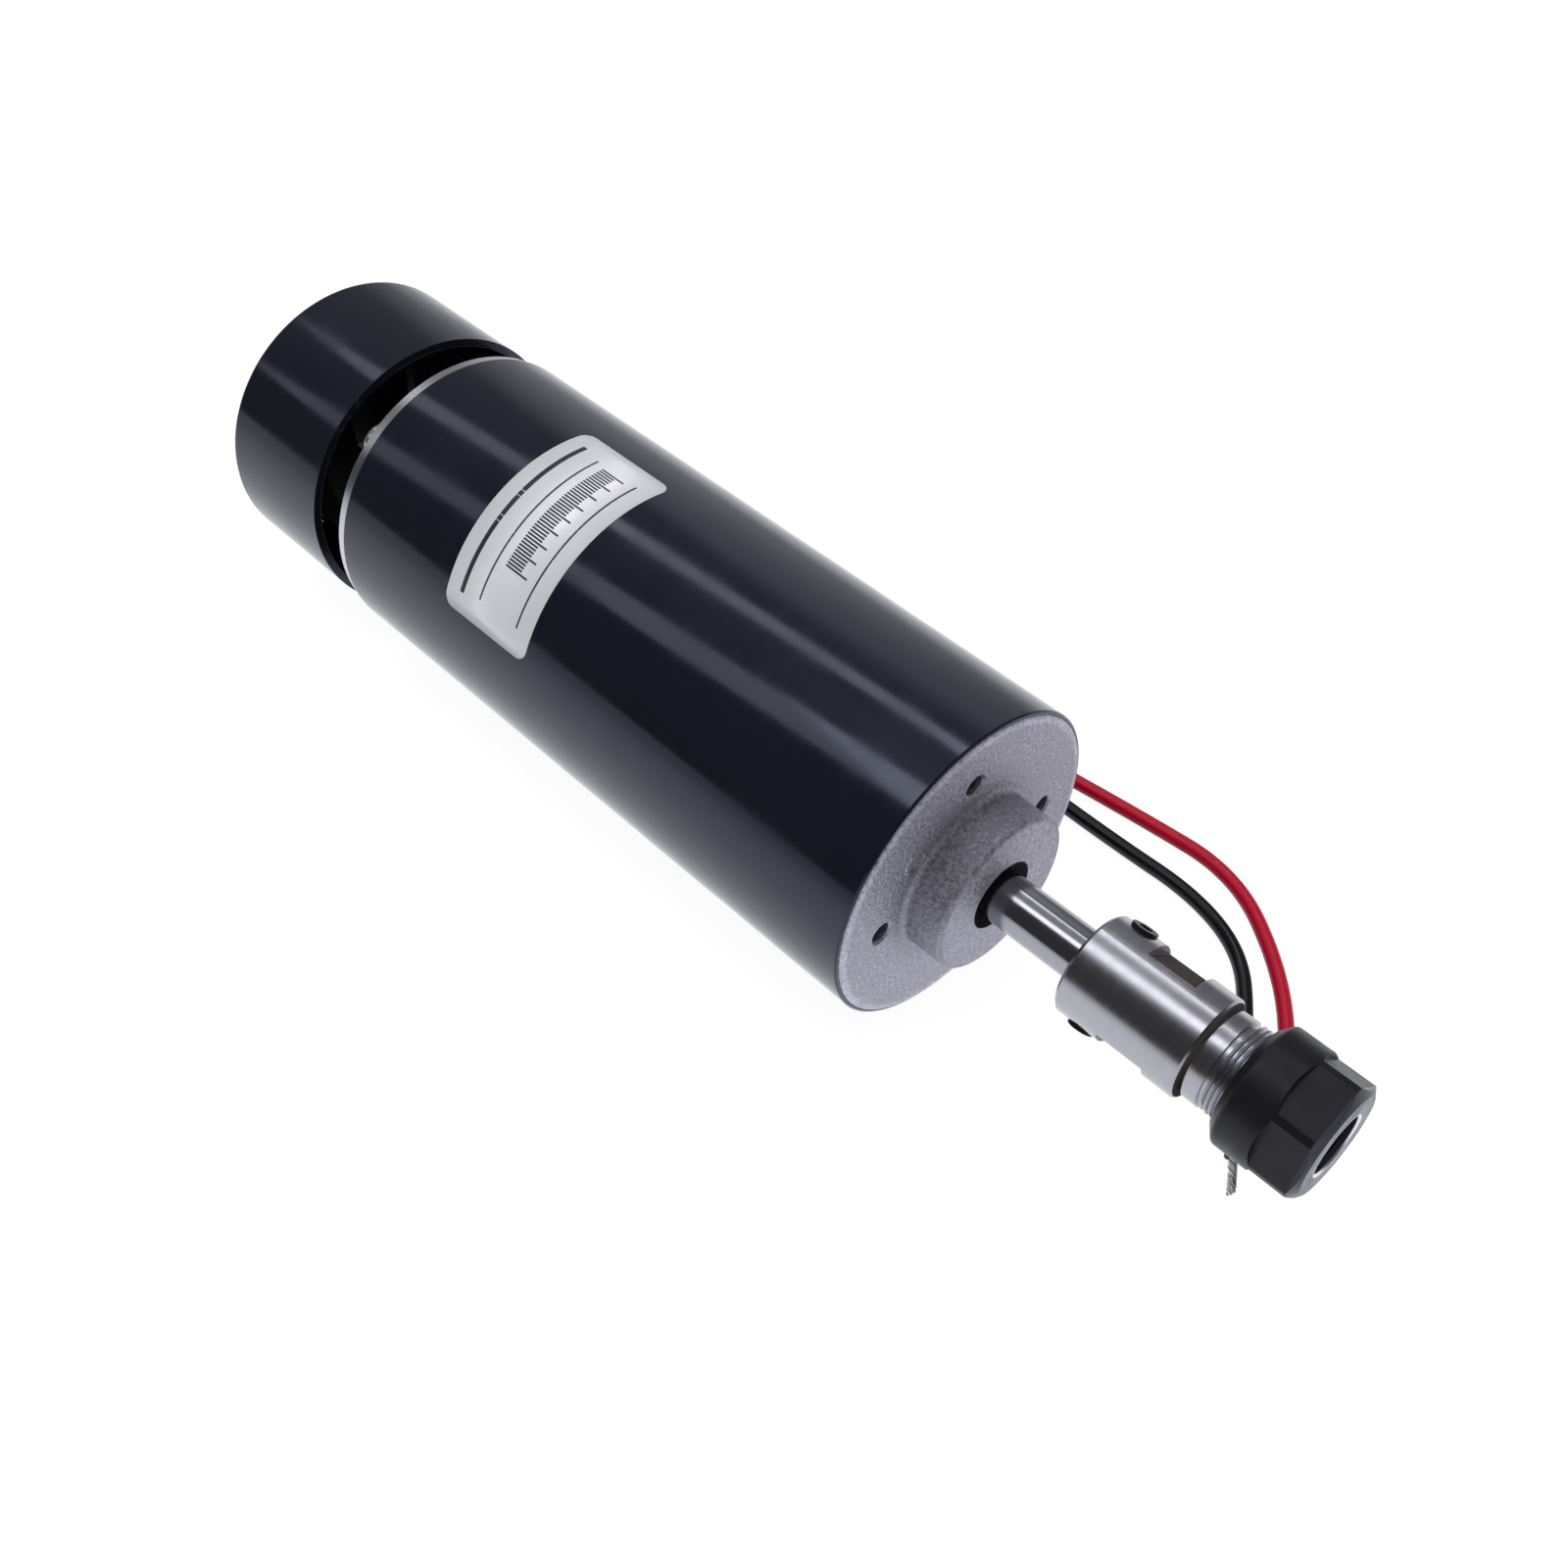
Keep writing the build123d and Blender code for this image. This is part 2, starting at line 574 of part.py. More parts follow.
def make_brush_holders():
    height = HOLDER_TO - HOLDER_FROM
    front = BRUSH_X + BRUSH_WIDTH / 2 + RUN + HOLDER_WALL
    back = PLATE_X + PLATE_THICK
    outer = Box(front - back, BRUSH_DEPTH + 2 * (RUN + HOLDER_WALL), height, align=FROM_LOW)
    outer = Pos((front + back) / 2, 0, HOLDER_FROM) * outer
    inner = Box(BRUSH_WIDTH + 2 * RUN, BRUSH_DEPTH + 2 * RUN, height - HOLDER_WALL, align=FROM_LOW)
    inner = Pos(BRUSH_X, 0, HOLDER_FROM) * inner
    return [at_angle(angle) * (outer - inner) for angle in (90, -90)]


def make_brush(angle):
    foot = COMM_R - OVER
    block = Pos(BRUSH_X, 0, foot) * Box(BRUSH_WIDTH, BRUSH_DEPTH, BRUSH_LENGTH + OVER, align=FROM_LOW)
    block -= rod(BRUSH_X - BRUSH_WIDTH, BRUSH_X + BRUSH_WIDTH, COMM_R + RUN)
    return at_angle(angle) * block


def make_brush_spring(angle):
    low = COMM_R + BRUSH_LENGTH + SPRING_WIRE_R + RUN
    high = HOLDER_TO - HOLDER_WALL - SPRING_WIRE_R - RUN
    coil = Helix(pitch=(high - low) / SPRING_TURNS, height=high - low, radius=SPRING_R)
    section = Plane(origin=coil @ 0, z_dir=coil % 0) * Circle(SPRING_WIRE_R)
    return at_angle(angle) * Pos(BRUSH_X, 0, low) * sweep(section, path=coil, is_frenet=True)


# ------------------------------------------------------------- fan cover
def make_fan_cover():
    cover = rod(COVER_REAR, COVER_FRONT, COVER_R)
    rims = cover.edges().filter_by(GeomType.CIRCLE)
    back_edge = [e for e in rims if abs(e.center().X - COVER_REAR) < 0.001]
    cover = fillet(back_edge, COVER_ROUND)
    cover -= rod(COVER_REAR + COVER_BACK, COVER_FRONT + OVER, COVER_R - COVER_WALL)
    for ring in range(GRILLE_RINGS):
        r_in = GRILLE_CORE_R + ring * (GRILLE_SLOT + GRILLE_BAR)
        r_out = r_in + GRILLE_SLOT
        window = sleeve(COVER_REAR - OVER, COVER_REAR + COVER_BACK + OVER, r_out, r_in)
        for i in range(GRILLE_SPOKES):
            spoke = Box(COVER_BACK + 4 * OVER, GRILLE_WEB, COVER_R, align=FROM_LOW)
            window -= at_angle(360 * i / GRILLE_SPOKES) * Pos(COVER_REAR + COVER_BACK / 2, 0, 0) * spoke
        cover -= window
    for angle in POST_ANGLES:
        cover += long_rod(COVER_REAR + COVER_BACK, REAR_FACE, POST_R, POST_PLACE, angle)
    for angle in POST_ANGLES:
        cover -= long_rod(COVER_REAR - OVER, REAR_FACE + OVER, COVER_SCREW_R + RUN, POST_PLACE, angle)
        head_seat = COVER_REAR + COVER_SCREW_HEAD
        cover -= long_rod(COVER_REAR - OVER, head_seat, COVER_SCREW_HEAD_R + RUN, POST_PLACE, angle)
    return cover


def make_cover_screws():
    screws = []
    for angle in POST_ANGLES:
        seat = COVER_REAR + COVER_SCREW_HEAD
        head = rod(COVER_REAR, seat, COVER_SCREW_HEAD_R)
        bottom = COVER_REAR + COVER_SCREW_KEY_DEPTH
        socket = Rot(0, 90, 0) * hex_socket(COVER_SCREW_KEY, COVER_REAR - OVER, bottom)
        screw = head - socket + rod(seat, REAR_FACE + COVER_SCREW_BITE, COVER_SCREW_R)
        screws.append(at_angle(angle) * Pos(0, 0, POST_PLACE) * screw)
    return screws


# ----------------------------------------------------------------- chuck
def make_chuck_body():
    body_front = CHUCK_X + CHUCK_BODY
    thread_x = body_front + GROOVE_WIDTH + NECK_PLAIN
    taper_end_r = TAPER_MOUTH_R - TAPER_DEPTH * tan(radians(TAPER))
    body = turned([
        (CHUCK_X, SHAFT_R + FIT),
        (CHUCK_X, CHUCK_R - CHUCK_CHAMFER),
        (CHUCK_X + CHUCK_CHAMFER, CHUCK_R),
        (body_front - CHUCK_EDGE, CHUCK_R),
        (body_front, CHUCK_R - CHUCK_EDGE),
        (body_front, GROOVE_R),
        (body_front + GROOVE_WIDTH, GROOVE_R),
        (body_front + GROOVE_WIDTH, NECK_R),
        (thread_x, NECK_R),
        (thread_x, THREAD_ROOT_R),
        (CHUCK_FRONT - CHUCK_CHAMFER, THREAD_ROOT_R),
        (CHUCK_FRONT, THREAD_ROOT_R - CHUCK_CHAMFER),
        (CHUCK_FRONT, TAPER_MOUTH_R),
        (CHUCK_FRONT - TAPER_DEPTH, taper_end_r),
        (CHUCK_FRONT - TAPER_DEPTH, THROUGH_R),
        (SHAFT_TIP + SEAT, THROUGH_R),
        (SHAFT_TIP + SEAT, SHAFT_R + FIT),
    ])
    for angle in (CHUCK_ANGLE, CHUCK_ANGLE + 180):
        notch = Box(FLAT_LENGTH, 2 * CHUCK_R, CHUCK_R, align=FROM_LOW)
        body -= at_angle(angle) * Pos(CHUCK_X + FLAT_FROM + FLAT_LENGTH / 2, 0, FLAT_PLACE) * notch
        body -= radial_rod(CHUCK_X + SET_SCREW_FROM, OVER, CHUCK_R + OVER, SET_SCREW_R + FIT, angle)
    return body


def make_chuck_set_screws():
    screws = []
    for angle in (CHUCK_ANGLE, CHUCK_ANGLE + 180):
        top = CHUCK_R + SET_SCREW_PROUD
        screw = Pos(0, 0, SHAFT_R + FIT) * Cylinder(SET_SCREW_R, top - SHAFT_R - FIT, align=FROM_LOW)
        screw -= hex_socket(SET_SCREW_KEY, top - SET_SCREW_KEY_DEPTH, top + OVER)
        screws.append(at_angle(angle) * Pos(CHUCK_X + SET_SCREW_FROM, 0, 0) * screw)
    return screws


def make_collet():
    back = COLLET_FRONT - COLLET_LENGTH
    slope = tan(radians(TAPER))
    seat_r = TAPER_MOUTH_R - RUN

    def cone_r(x):
        return seat_r + (x - CHUCK_FRONT) * slope

    rim_front = COLLET_FRONT - (COLLET_RIM_R - COLLET_NOSE_R) / tan(radians(NUT_CONE))
    rim_back = rim_front - COLLET_RIM
    neck_back = rim_back - COLLET_NECK
    collet = turned([
        (back, COLLET_BORE_R),
        (back, cone_r(back)),
        (neck_back, cone_r(neck_back)),
        (neck_back, COLLET_NECK_R),
        (rim_back, COLLET_NECK_R),
        (rim_back, COLLET_RIM_R),
        (rim_front, COLLET_RIM_R),
        (COLLET_FRONT, COLLET_NOSE_R),
        (COLLET_FRONT, COLLET_BORE_R),
    ])
    for i in range(COLLET_SLITS):
        blade = Box(COLLET_LENGTH, COLLET_SLIT, 2 * COLLET_RIM_R, align=FROM_LOW)
        middle = back + COLLET_LENGTH / 2
        front_slit = Pos(middle + COLLET_SLIT_LEFT, 0, 0) * blade
        rear_slit = Pos(middle - COLLET_SLIT_LEFT, 0, 0) * blade
        angle = COLLET_SLIT_ANGLE + 360 * i / COLLET_SLITS
        collet -= at_angle(angle) * front_slit
        collet -= at_angle(angle + 180 / COLLET_SLITS) * rear_slit
    return collet


def make_collet_nut():
    slope = tan(radians(NUT_CONE))
    rim_front = COLLET_FRONT - (COLLET_RIM_R - COLLET_NOSE_R) / slope
    bore_r = NECK_R + RUN
    cone_r = COLLET_RIM_R + RUN
    mouth_x = rim_front + (cone_r - NUT_MOUTH_R) / slope
    thread_end = rim_front - COLLET_RIM - COLLET_NECK + RUN
    blank = turned([
        (NUT_X, bore_r),
        (NUT_X, NUT_SHOULDER_R),
        (NUT_X + NUT_SHOULDER, NUT_R),
        (NUT_FRONT - NUT_CHAMFER, NUT_R),
        (NUT_FRONT, NUT_R - NUT_CHAMFER_DROP),
        (NUT_FRONT, NUT_MOUTH_R + NUT_MOUTH_EDGE),
        (NUT_FRONT - NUT_MOUTH_EDGE, NUT_MOUTH_R),
        (mouth_x, NUT_MOUTH_R),
        (rim_front, cone_r),
        (rim_front - COLLET_RIM - RUN, cone_r),
        (rim_front - COLLET_RIM - RUN, COLLET_NECK_R + SEAT),
        (thread_end, COLLET_NECK_R + SEAT),
        (thread_end, bore_r),
    ])
    shoulder = [e for e in blank.edges().filter_by(GeomType.CIRCLE)
                if abs(e.radius - NUT_R) < 0.001 and e.center().X < NUT_X + NUT_LENGTH / 2]
    blank = fillet(shoulder, NUT_SHOULDER_ROUND)
    for i in range(6):
        angle = NUT_ANGLE + 30 + 60 * i
        mill = Cylinder(RUNOUT_R, 3 * NUT_R, align=FROM_LOW)
        mill += Pos(NUT_LENGTH, 0, 0) * Box(2 * NUT_LENGTH, 2 * RUNOUT_R, 3 * NUT_R, align=FROM_LOW)
        blank -= at_angle(angle) * Pos(NUT_X + FLAT_RISE + RUNOUT_R, 0, NUT_FLAT) * mill
    return blank


# ------------------------------------------------------------ lead wires
def make_lead_grommet():
    inner = REAR_FACE + GROMMET_BITE
    outer = REAR_FACE - GROMMET_RISE
    grommet = slot_bar(REAR_FACE, inner, GROMMET_NECK, LEAD_PLACE, LEAD_ANGLE)
    grommet += slot_bar(outer, REAR_FACE, GROMMET_FLANGE, LEAD_PLACE, LEAD_ANGLE)
    for side in (-1, 1):
        hole = rod(outer - OVER, inner + OVER, LEAD_R + GROMMET_HOLD)
        grommet -= at_angle(LEAD_ANGLE) * Pos(0, side * LEAD_PITCH / 2, LEAD_PLACE) * hole
    return grommet


def lead_exit(x, r, side):
    """Point at radius r on the way out of a lead, on one side of the grommet."""
    a = radians(LEAD_ANGLE)
    across = side * LEAD_PITCH / 2
    return (x, r * cos(a) - across * sin(a), r * sin(a) + across * cos(a))


def lead_way_out(side):
    """Straight out of the grommet, then away from the axis through the gap."""
    return [
        lead_exit(REAR_FACE + GROMMET_BITE, LEAD_PLACE, side),
        lead_exit(LEAD_TURN_X, LEAD_PLACE, side),
        lead_exit(LEAD_TURN_X, LEAD_OUT_R, side),
    ]


LEAD_Z = FLOOR + LEAD_R
RED_ROUTE = lead_way_out(1) + [
    (-121.2, 36.8, -14.6),
    (-113.5, 42.6, -20.8),
    (-102.0, 45.6, -24.4),
    (-88.0, 45.6, LEAD_Z),
    (-68.0, 44.4, LEAD_Z),
    (-44.0, 42.4, LEAD_Z),
    (-20.0, 42.8, LEAD_Z),
    (1.0, 45.2, LEAD_Z),
    (19.6, 46.6, LEAD_Z),
    (35.6, 36.0, LEAD_Z),
    (45.6, 24.0, LEAD_Z),
    (52.0, 14.0, LEAD_Z),
]
BLACK_ROUTE = lead_way_out(-1) + [
    (-121.0, 33.4, -18.2),
    (-113.0, 37.4, -22.8),
    (-101.0, 39.2, LEAD_Z),
    (-84.0, 39.4, LEAD_Z),
    (-62.0, 37.8, LEAD_Z),
    (-40.0, 37.2, LEAD_Z),
    (-18.0, 38.4, LEAD_Z),
    (2.0, 38.0, LEAD_Z),
    (17.6, 38.4, LEAD_Z),
    (29.6, 34.2, LEAD_Z),
    (37.6, 24.4, LEAD_Z),
    (44.6, 12.6, LEAD_Z),
    (49.8, 4.2, LEAD_Z),
]
RED_TIN = (55.2, 9.2, LEAD_Z)
BLACK_TIN = (53.2, -0.9, LEAD_Z)


def bend_radii(route):
    """The largest arc at each corner that its two runs leave room for."""
    points = [Vector(*p) for p in route]
    radii = []
    for before, corner, after in zip(points, points[1:], points[2:]):
        turn = (corner - before).get_angle(after - corner)
        run = min((corner - before).length, (after - corner).length)
        radii.append(0.45 * run / tan(radians(turn / 2)))
    return radii


def make_lead(name, route, r):
    radii = bend_radii(route)
    path = FilletPolyline(*route, radius=radii)
    section = Plane(origin=path @ 0, z_dir=path % 0) * Circle(r)
    lead = sweep(section, path=path)
    print(name, "length", round(path.length, 1), "radii", [round(v, 1) for v in radii])
    print(name, "volume", round(lead.volume, 2), "section times length", round(pi * r * r * path.length, 2))
    return lead


def make_tinned_end(route, tip, r):
    start = Vector(*route[-1])
    way = Vector(*tip) - start
    section = Plane(origin=start, z_dir=way) * Circle(r)
    return extrude(section, amount=way.length)


def save(name, shape):
    solids = []
    for piece in shape if isinstance(shape, list) else [shape]:
        solids.extend(piece.solids())
    export_step(solids[0] if len(solids) == 1 else Compound(children=solids), f"parts/{name}.step")


def main():
    os.makedirs("parts", exist_ok=True)
    save("motor_tube", make_motor_tube())
    save("front_end_cap", make_front_end_cap())
    save("rear_end_cap", make_rear_end_cap())
    save("field_magnets", make_field_magnets())
    save("tie_bolts", make_tie_bolts())
    save("front_bearing_outer", make_outer_race(FRONT_BEARING_X))
    save("front_bearing_inner", make_inner_race(FRONT_BEARING_X))
    save("front_bearing_balls", make_balls(FRONT_BEARING_X))
    save("front_bearing_cage", make_cage(FRONT_BEARING_X))
    save("rear_bearing_outer", make_outer_race(REAR_BEARING_X))
    save("rear_bearing_inner", make_inner_race(REAR_BEARING_X))
    save("rear_bearing_balls", make_balls(REAR_BEARING_X))
    save("rear_bearing_cage", make_cage(REAR_BEARING_X))
    save("wave_washer", make_wave_washer())
    save("shaft", make_shaft())
    save("shaft_circlip", make_shaft_circlip())
    save("armature_core", make_armature_core())
    save("armature_windings", make_armature_windings())
    save("commutator_hub", make_commutator_hub())
    save("commutator_bars", make_commutator_bars())
    save("cooling_fan", make_cooling_fan())
    save("brush_plate", make_brush_plate())
    save("brush_plate_screws", make_brush_plate_screws())
    save("brush_holders", make_brush_holders())
    save("brush_upper", make_brush(90))
    save("brush_lower", make_brush(-90))
    save("brush_spring_upper", make_brush_spring(90))
    save("brush_spring_lower", make_brush_spring(-90))
    save("fan_cover", make_fan_cover())
    save("cover_screws", make_cover_screws())
    save("chuck_body", make_chuck_body())
    save("chuck_set_screws", make_chuck_set_screws())
    save("collet", make_collet())
    save("collet_nut", make_collet_nut())
    save("lead_grommet", make_lead_grommet())
    save("lead_wire_red", make_lead("red lead", RED_ROUTE, LEAD_R))
    save("lead_wire_black", make_lead("black lead", BLACK_ROUTE, LEAD_R))
    save("lead_end_red", make_tinned_end(RED_ROUTE, RED_TIN, LEAD_TIN_R))
    save("lead_end_black", make_tinned_end(BLACK_ROUTE, BLACK_TIN, LEAD_TIN_R))


main()
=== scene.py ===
import json
from math import cos, pi, radians, sin, tau
import bpy
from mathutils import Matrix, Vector


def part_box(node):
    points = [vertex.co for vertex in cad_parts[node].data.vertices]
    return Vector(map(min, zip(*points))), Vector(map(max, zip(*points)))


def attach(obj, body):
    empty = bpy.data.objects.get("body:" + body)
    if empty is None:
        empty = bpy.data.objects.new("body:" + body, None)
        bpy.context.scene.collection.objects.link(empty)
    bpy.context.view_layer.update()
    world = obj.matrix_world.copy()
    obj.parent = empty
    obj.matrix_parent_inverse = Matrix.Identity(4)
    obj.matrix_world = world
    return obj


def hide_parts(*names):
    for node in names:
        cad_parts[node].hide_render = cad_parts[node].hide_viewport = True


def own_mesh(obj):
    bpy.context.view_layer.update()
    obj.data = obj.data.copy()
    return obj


# A brushed spindle motor that lies on its side on a white table.
# Lengths are in millimetres in the constants, and MM turns them into metres.
# The axis is X, with +X out of the tool end. Angles go round it from +Y towards +Z.

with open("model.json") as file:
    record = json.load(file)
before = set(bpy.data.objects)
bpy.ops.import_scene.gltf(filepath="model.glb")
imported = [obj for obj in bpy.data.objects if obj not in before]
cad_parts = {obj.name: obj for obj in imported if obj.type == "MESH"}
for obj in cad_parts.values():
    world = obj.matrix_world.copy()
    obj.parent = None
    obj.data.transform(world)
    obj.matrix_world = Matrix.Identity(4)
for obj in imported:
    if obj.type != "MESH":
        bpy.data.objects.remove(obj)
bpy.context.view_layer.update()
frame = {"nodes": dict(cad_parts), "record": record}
MM = 0.001


def reach(node):
    """Lowest x, highest x and radius of a turned node, in metres."""
    low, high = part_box(node)
    return low.x, high.x, (high.y - low.y) / 2


TUBE_R = reach("motor_tube")[2]
FLOOR_Z = -TUBE_R


def on_surface(x, angle, r):
    """Point at a distance r from the axis, all in metres and degrees."""
    a = radians(angle)
    return Vector((x, r * cos(a), r * sin(a)))


# ------------------------------------------------------------------ camera
CAMERA_PLACE = (0.09504, -0.12876, 0.19547)
CAMERA_TURN = (41.677, 0.0, 45.766)
CAMERA_LENS = 40.07
CAMERA_SENSOR = 36.0


def make_camera():
    data = bpy.data.cameras.new("camera")
    data.lens = CAMERA_LENS
    data.sensor_width = CAMERA_SENSOR
    data.clip_start = 0.01
    data.clip_end = 50.0
    camera = bpy.data.objects.new("camera", data)
    camera.location = CAMERA_PLACE
    camera.rotation_euler = [radians(v) for v in CAMERA_TURN]
    bpy.context.scene.collection.objects.link(camera)
    bpy.context.scene.camera = camera


# -------------------------------------------------------------- node helpers
def add_node(tree, kind, **settings):
    node = tree.nodes.new(kind)
    for name, value in settings.items():
        setattr(node, name, value)
    return node


def connect(tree, source, target):
    tree.links.new(source, target)


def math_node(tree, operation, *values):
    """Math node on two or three values, each a number or a socket."""
    node = add_node(tree, "ShaderNodeMath", operation=operation)
    for socket, value in zip(node.inputs, values):
        if isinstance(value, (int, float)):
            socket.default_value = value
        else:
            connect(tree, value, socket)
    return node.outputs[0]


def ramp(tree, value, low, high, to_low, to_high, smooth=True):
    """Map a value from one range to another, and keep it inside."""
    kind = "SMOOTHSTEP" if smooth else "LINEAR"
    node = add_node(tree, "ShaderNodeMapRange", interpolation_type=kind)
    names = ("From Min", "From Max", "To Min", "To Max")
    for name, number in zip(names, (low, high, to_low, to_high)):
        node.inputs[name].default_value = number
    connect(tree, value, node.inputs["Value"])
    return node.outputs["Result"]


def place_of(tree):
    """Coordinates of the piece itself, in metres."""
    return add_node(tree, "ShaderNodeTexCoord").outputs["Object"]


def turned_place(tree):
    """Coordinates that stay the same all the way round the axis: (x, radius, 0)."""
    split = add_node(tree, "ShaderNodeSeparateXYZ")
    connect(tree, place_of(tree), split.inputs[0])
    across = add_node(tree, "ShaderNodeCombineXYZ")
    connect(tree, split.outputs["Y"], across.inputs["Y"])
    connect(tree, split.outputs["Z"], across.inputs["Z"])
    length = add_node(tree, "ShaderNodeVectorMath", operation="LENGTH")
    connect(tree, across.outputs[0], length.inputs[0])
    join = add_node(tree, "ShaderNodeCombineXYZ")
    connect(tree, split.outputs["X"], join.inputs["X"])
    connect(tree, length.outputs["Value"], join.inputs["Y"])
    return join.outputs[0]


def both(tree, a, b):
    """Product of two masks or shares."""
    return math_node(tree, "MULTIPLY", a, b)


def apart(tree):
    """The two coordinates x and distance from the axis, each by itself."""
    split = add_node(tree, "ShaderNodeSeparateXYZ")
    connect(tree, turned_place(tree), split.inputs[0])
    return split.outputs["X"], split.outputs["Y"]


def within(tree, value, low, high, soft=0.05 * MM):
    """1 between low and high, 0 outside, with soft ends."""
    up = ramp(tree, value, low - soft, low + soft, 0.0, 1.0)
    down = ramp(tree, value, high - soft, high + soft, 1.0, 0.0)
    return both(tree, up, down)


HOLLOW_AO = (0.12, 0.62)  # open share of the space around, deep in a hole and in the open


def hollows(tree, reach_in):
    """0 deep in holes and corners, 1 in the open."""
    node = add_node(tree, "ShaderNodeAmbientOcclusion", samples=6)
    node.inputs["Distance"].default_value = reach_in
    return ramp(tree, node.outputs["AO"], *HOLLOW_AO, 0.0, 1.0)


def noise(tree, place, size, detail=3.0, roughness=0.55):
    """Noise from 0 to 1 whose blobs are about size metres wide."""
    node = add_node(tree, "ShaderNodeTexNoise")
    node.inputs["Scale"].default_value = 1.0 / size
    node.inputs["Detail"].default_value = detail
    node.inputs["Roughness"].default_value = roughness
    connect(tree, place, node.inputs["Vector"])
    return node.outputs["Fac"]


def toned(colour, share):
    """A lighter or darker tone of a colour."""
    return tuple(share * v for v in colour)


def mix_colour(tree, factor, a, b):
    node = add_node(tree, "ShaderNodeMix", data_type="RGBA")
    connect(tree, factor, node.inputs["Factor"])
    for socket, value in ((node.inputs["A"], a), (node.inputs["B"], b)):
        if isinstance(value, tuple):
            socket.default_value = (*value, 1.0)
        else:
            connect(tree, value, socket)
    return node.outputs["Result"]


def bump(tree, height, depth, normal=None):
    """Bump of a height from 0 to 1 that stands depth metres deep."""
    node = add_node(tree, "ShaderNodeBump")
    node.inputs["Distance"].default_value = depth
    connect(tree, height, node.inputs["Height"])
    if normal is not None:
        connect(tree, normal, node.inputs["Normal"])
    return node.outputs["Normal"]


def soft_edges(tree, radius):
    """Normal that rounds the sharp edges over a small radius."""
    node = add_node(tree, "ShaderNodeBevel", samples=4)
    node.inputs["Radius"].default_value = radius
    return node.outputs["Normal"]


def new_material(name, metallic=0.0, roughness=0.5, colour=(0.5, 0.5, 0.5)):
    """Principled material. Returns it with its tree and its shader."""
    material = bpy.data.materials.new(name)
    material.use_nodes = True
    shader = material.node_tree.nodes["Principled BSDF"]
    shader.inputs["Metallic"].default_value = metallic
    shader.inputs["Roughness"].default_value = roughness
    shader.inputs["Base Color"].default_value = (*colour, 1.0)
    return material, material.node_tree, shader


def dress(tree, shader, colour, rough, height, depth, edge=None):
    """Give a shader its colour, roughness and relief, and round its edges by edge metres."""
    connect(tree, colour, shader.inputs["Base Color"])
    connect(tree, rough, shader.inputs["Roughness"])
    rounded = soft_edges(tree, edge) if edge else None
    connect(tree, bump(tree, height, depth, rounded), shader.inputs["Normal"])


# ----------------------------------------------------------------- materials
def gloss_paint(name, colour):
    """Black gloss enamel with a faint orange peel and fine dust."""
    material, tree, shader = new_material(name, 0.0, 0.13, colour)
    shader.inputs["IOR"].default_value = 1.55
    shader.inputs["Specular Tint"].default_value = (*PAINT_GLEAM, 1.0)
    place = place_of(tree)
    peel = noise(tree, place, 2.2 * MM, 2.0)
    haze = noise(tree, place, 14 * MM, 4.0)
    shade = mix_colour(tree, haze, colour, toned(colour, 1.25))
    rough = ramp(tree, haze, 0.35, 0.7, 0.10, 0.17)
    dress(tree, shader, shade, rough, peel, 0.0016 * MM, 0.12 * MM)
    return material


BOSS_ROOT_X = (0.2, 0.9)     # between these the face turns into the boss
BOSS_SIDE_R = (12.1, 12.6)   # and between these the boss's front into its side
BOSS_SHADE_R = (12.0, 19.0)   # painted shade round the boss thins out over the face
FACE_HIGHLIGHT_R = (24.3, 25.8)    # painted highlight along the rim
# colour of the painted shade deep in holes and corners
HOLE_SHADE = (0.012, 0.012, 0.014)


def cast_metal(name, colour):
    """Die-cast alloy, blasted to a fine grain, with a painted highlight on its lip and painted shade on
    its boss side, round the boss root and in its holes.
    """
    material, tree, shader = new_material(name, 0.75, 0.5, colour)
    place = place_of(tree)
    grain = noise(tree, place, 0.6 * MM, 3.0, 0.7)
    patch = noise(tree, place, 5 * MM, 3.0)
    speckle = ramp(tree, grain, 0.36, 0.64, 0.0, 1.0)
    x, r = apart(tree)
    root_low, root_high = (v * MM for v in BOSS_ROOT_X)

    shade = mix_colour(tree, speckle, toned(colour, 0.64), toned(colour, 1.28))
    # painted highlight: a bright grainy band along the rim of the face
    lip_highlight = within(tree, r, FACE_HIGHLIGHT_R[0] * MM, FACE_HIGHLIGHT_R[1] * MM, 0.35 * MM)
    glint = ramp(tree, grain, 0.30, 0.62, 0.15, 0.75)
    shade = mix_colour(tree, both(tree, lip_highlight, glint), shade, toned(colour, 1.7))

    # painted shade on the side of the boss
    side_x = ramp(tree, x, root_low, root_high, 0.0, 1.0)
    side_r = ramp(tree, r, BOSS_SIDE_R[0] * MM, BOSS_SIDE_R[1] * MM, 0.0, 1.0)
    shaded_boss_side = mix_colour(tree, speckle, toned(colour, 0.40), toned(colour, 0.86))
    shade = mix_colour(tree, both(tree, both(tree, side_x, side_r), 0.8), shade, shaded_boss_side)

    # painted shade round the root of the boss, fading out over the face
    near = ramp(tree, r, BOSS_SHADE_R[0] * MM, BOSS_SHADE_R[1] * MM, 0.3, 0.0)
    on_face = ramp(tree, x, root_low, root_high, 1.0, 0.0)
    shade = mix_colour(tree, both(tree, near, on_face), shade, toned(colour, 0.3))

    worn = mix_colour(tree, ramp(tree, patch, 0.4, 0.65, 0.0, 0.35), shade, toned(colour, 0.86))
    # painted shade deep in holes and corners, from ambient occlusion
    hole_shaded = mix_colour(tree, hollows(tree, 5 * MM), HOLE_SHADE, worn)
    rough = ramp(tree, grain, 0.3, 0.7, 0.42, 0.58)
    dress(tree, shader, hole_shaded, rough, speckle, 0.07 * MM, 0.15 * MM)
    return material


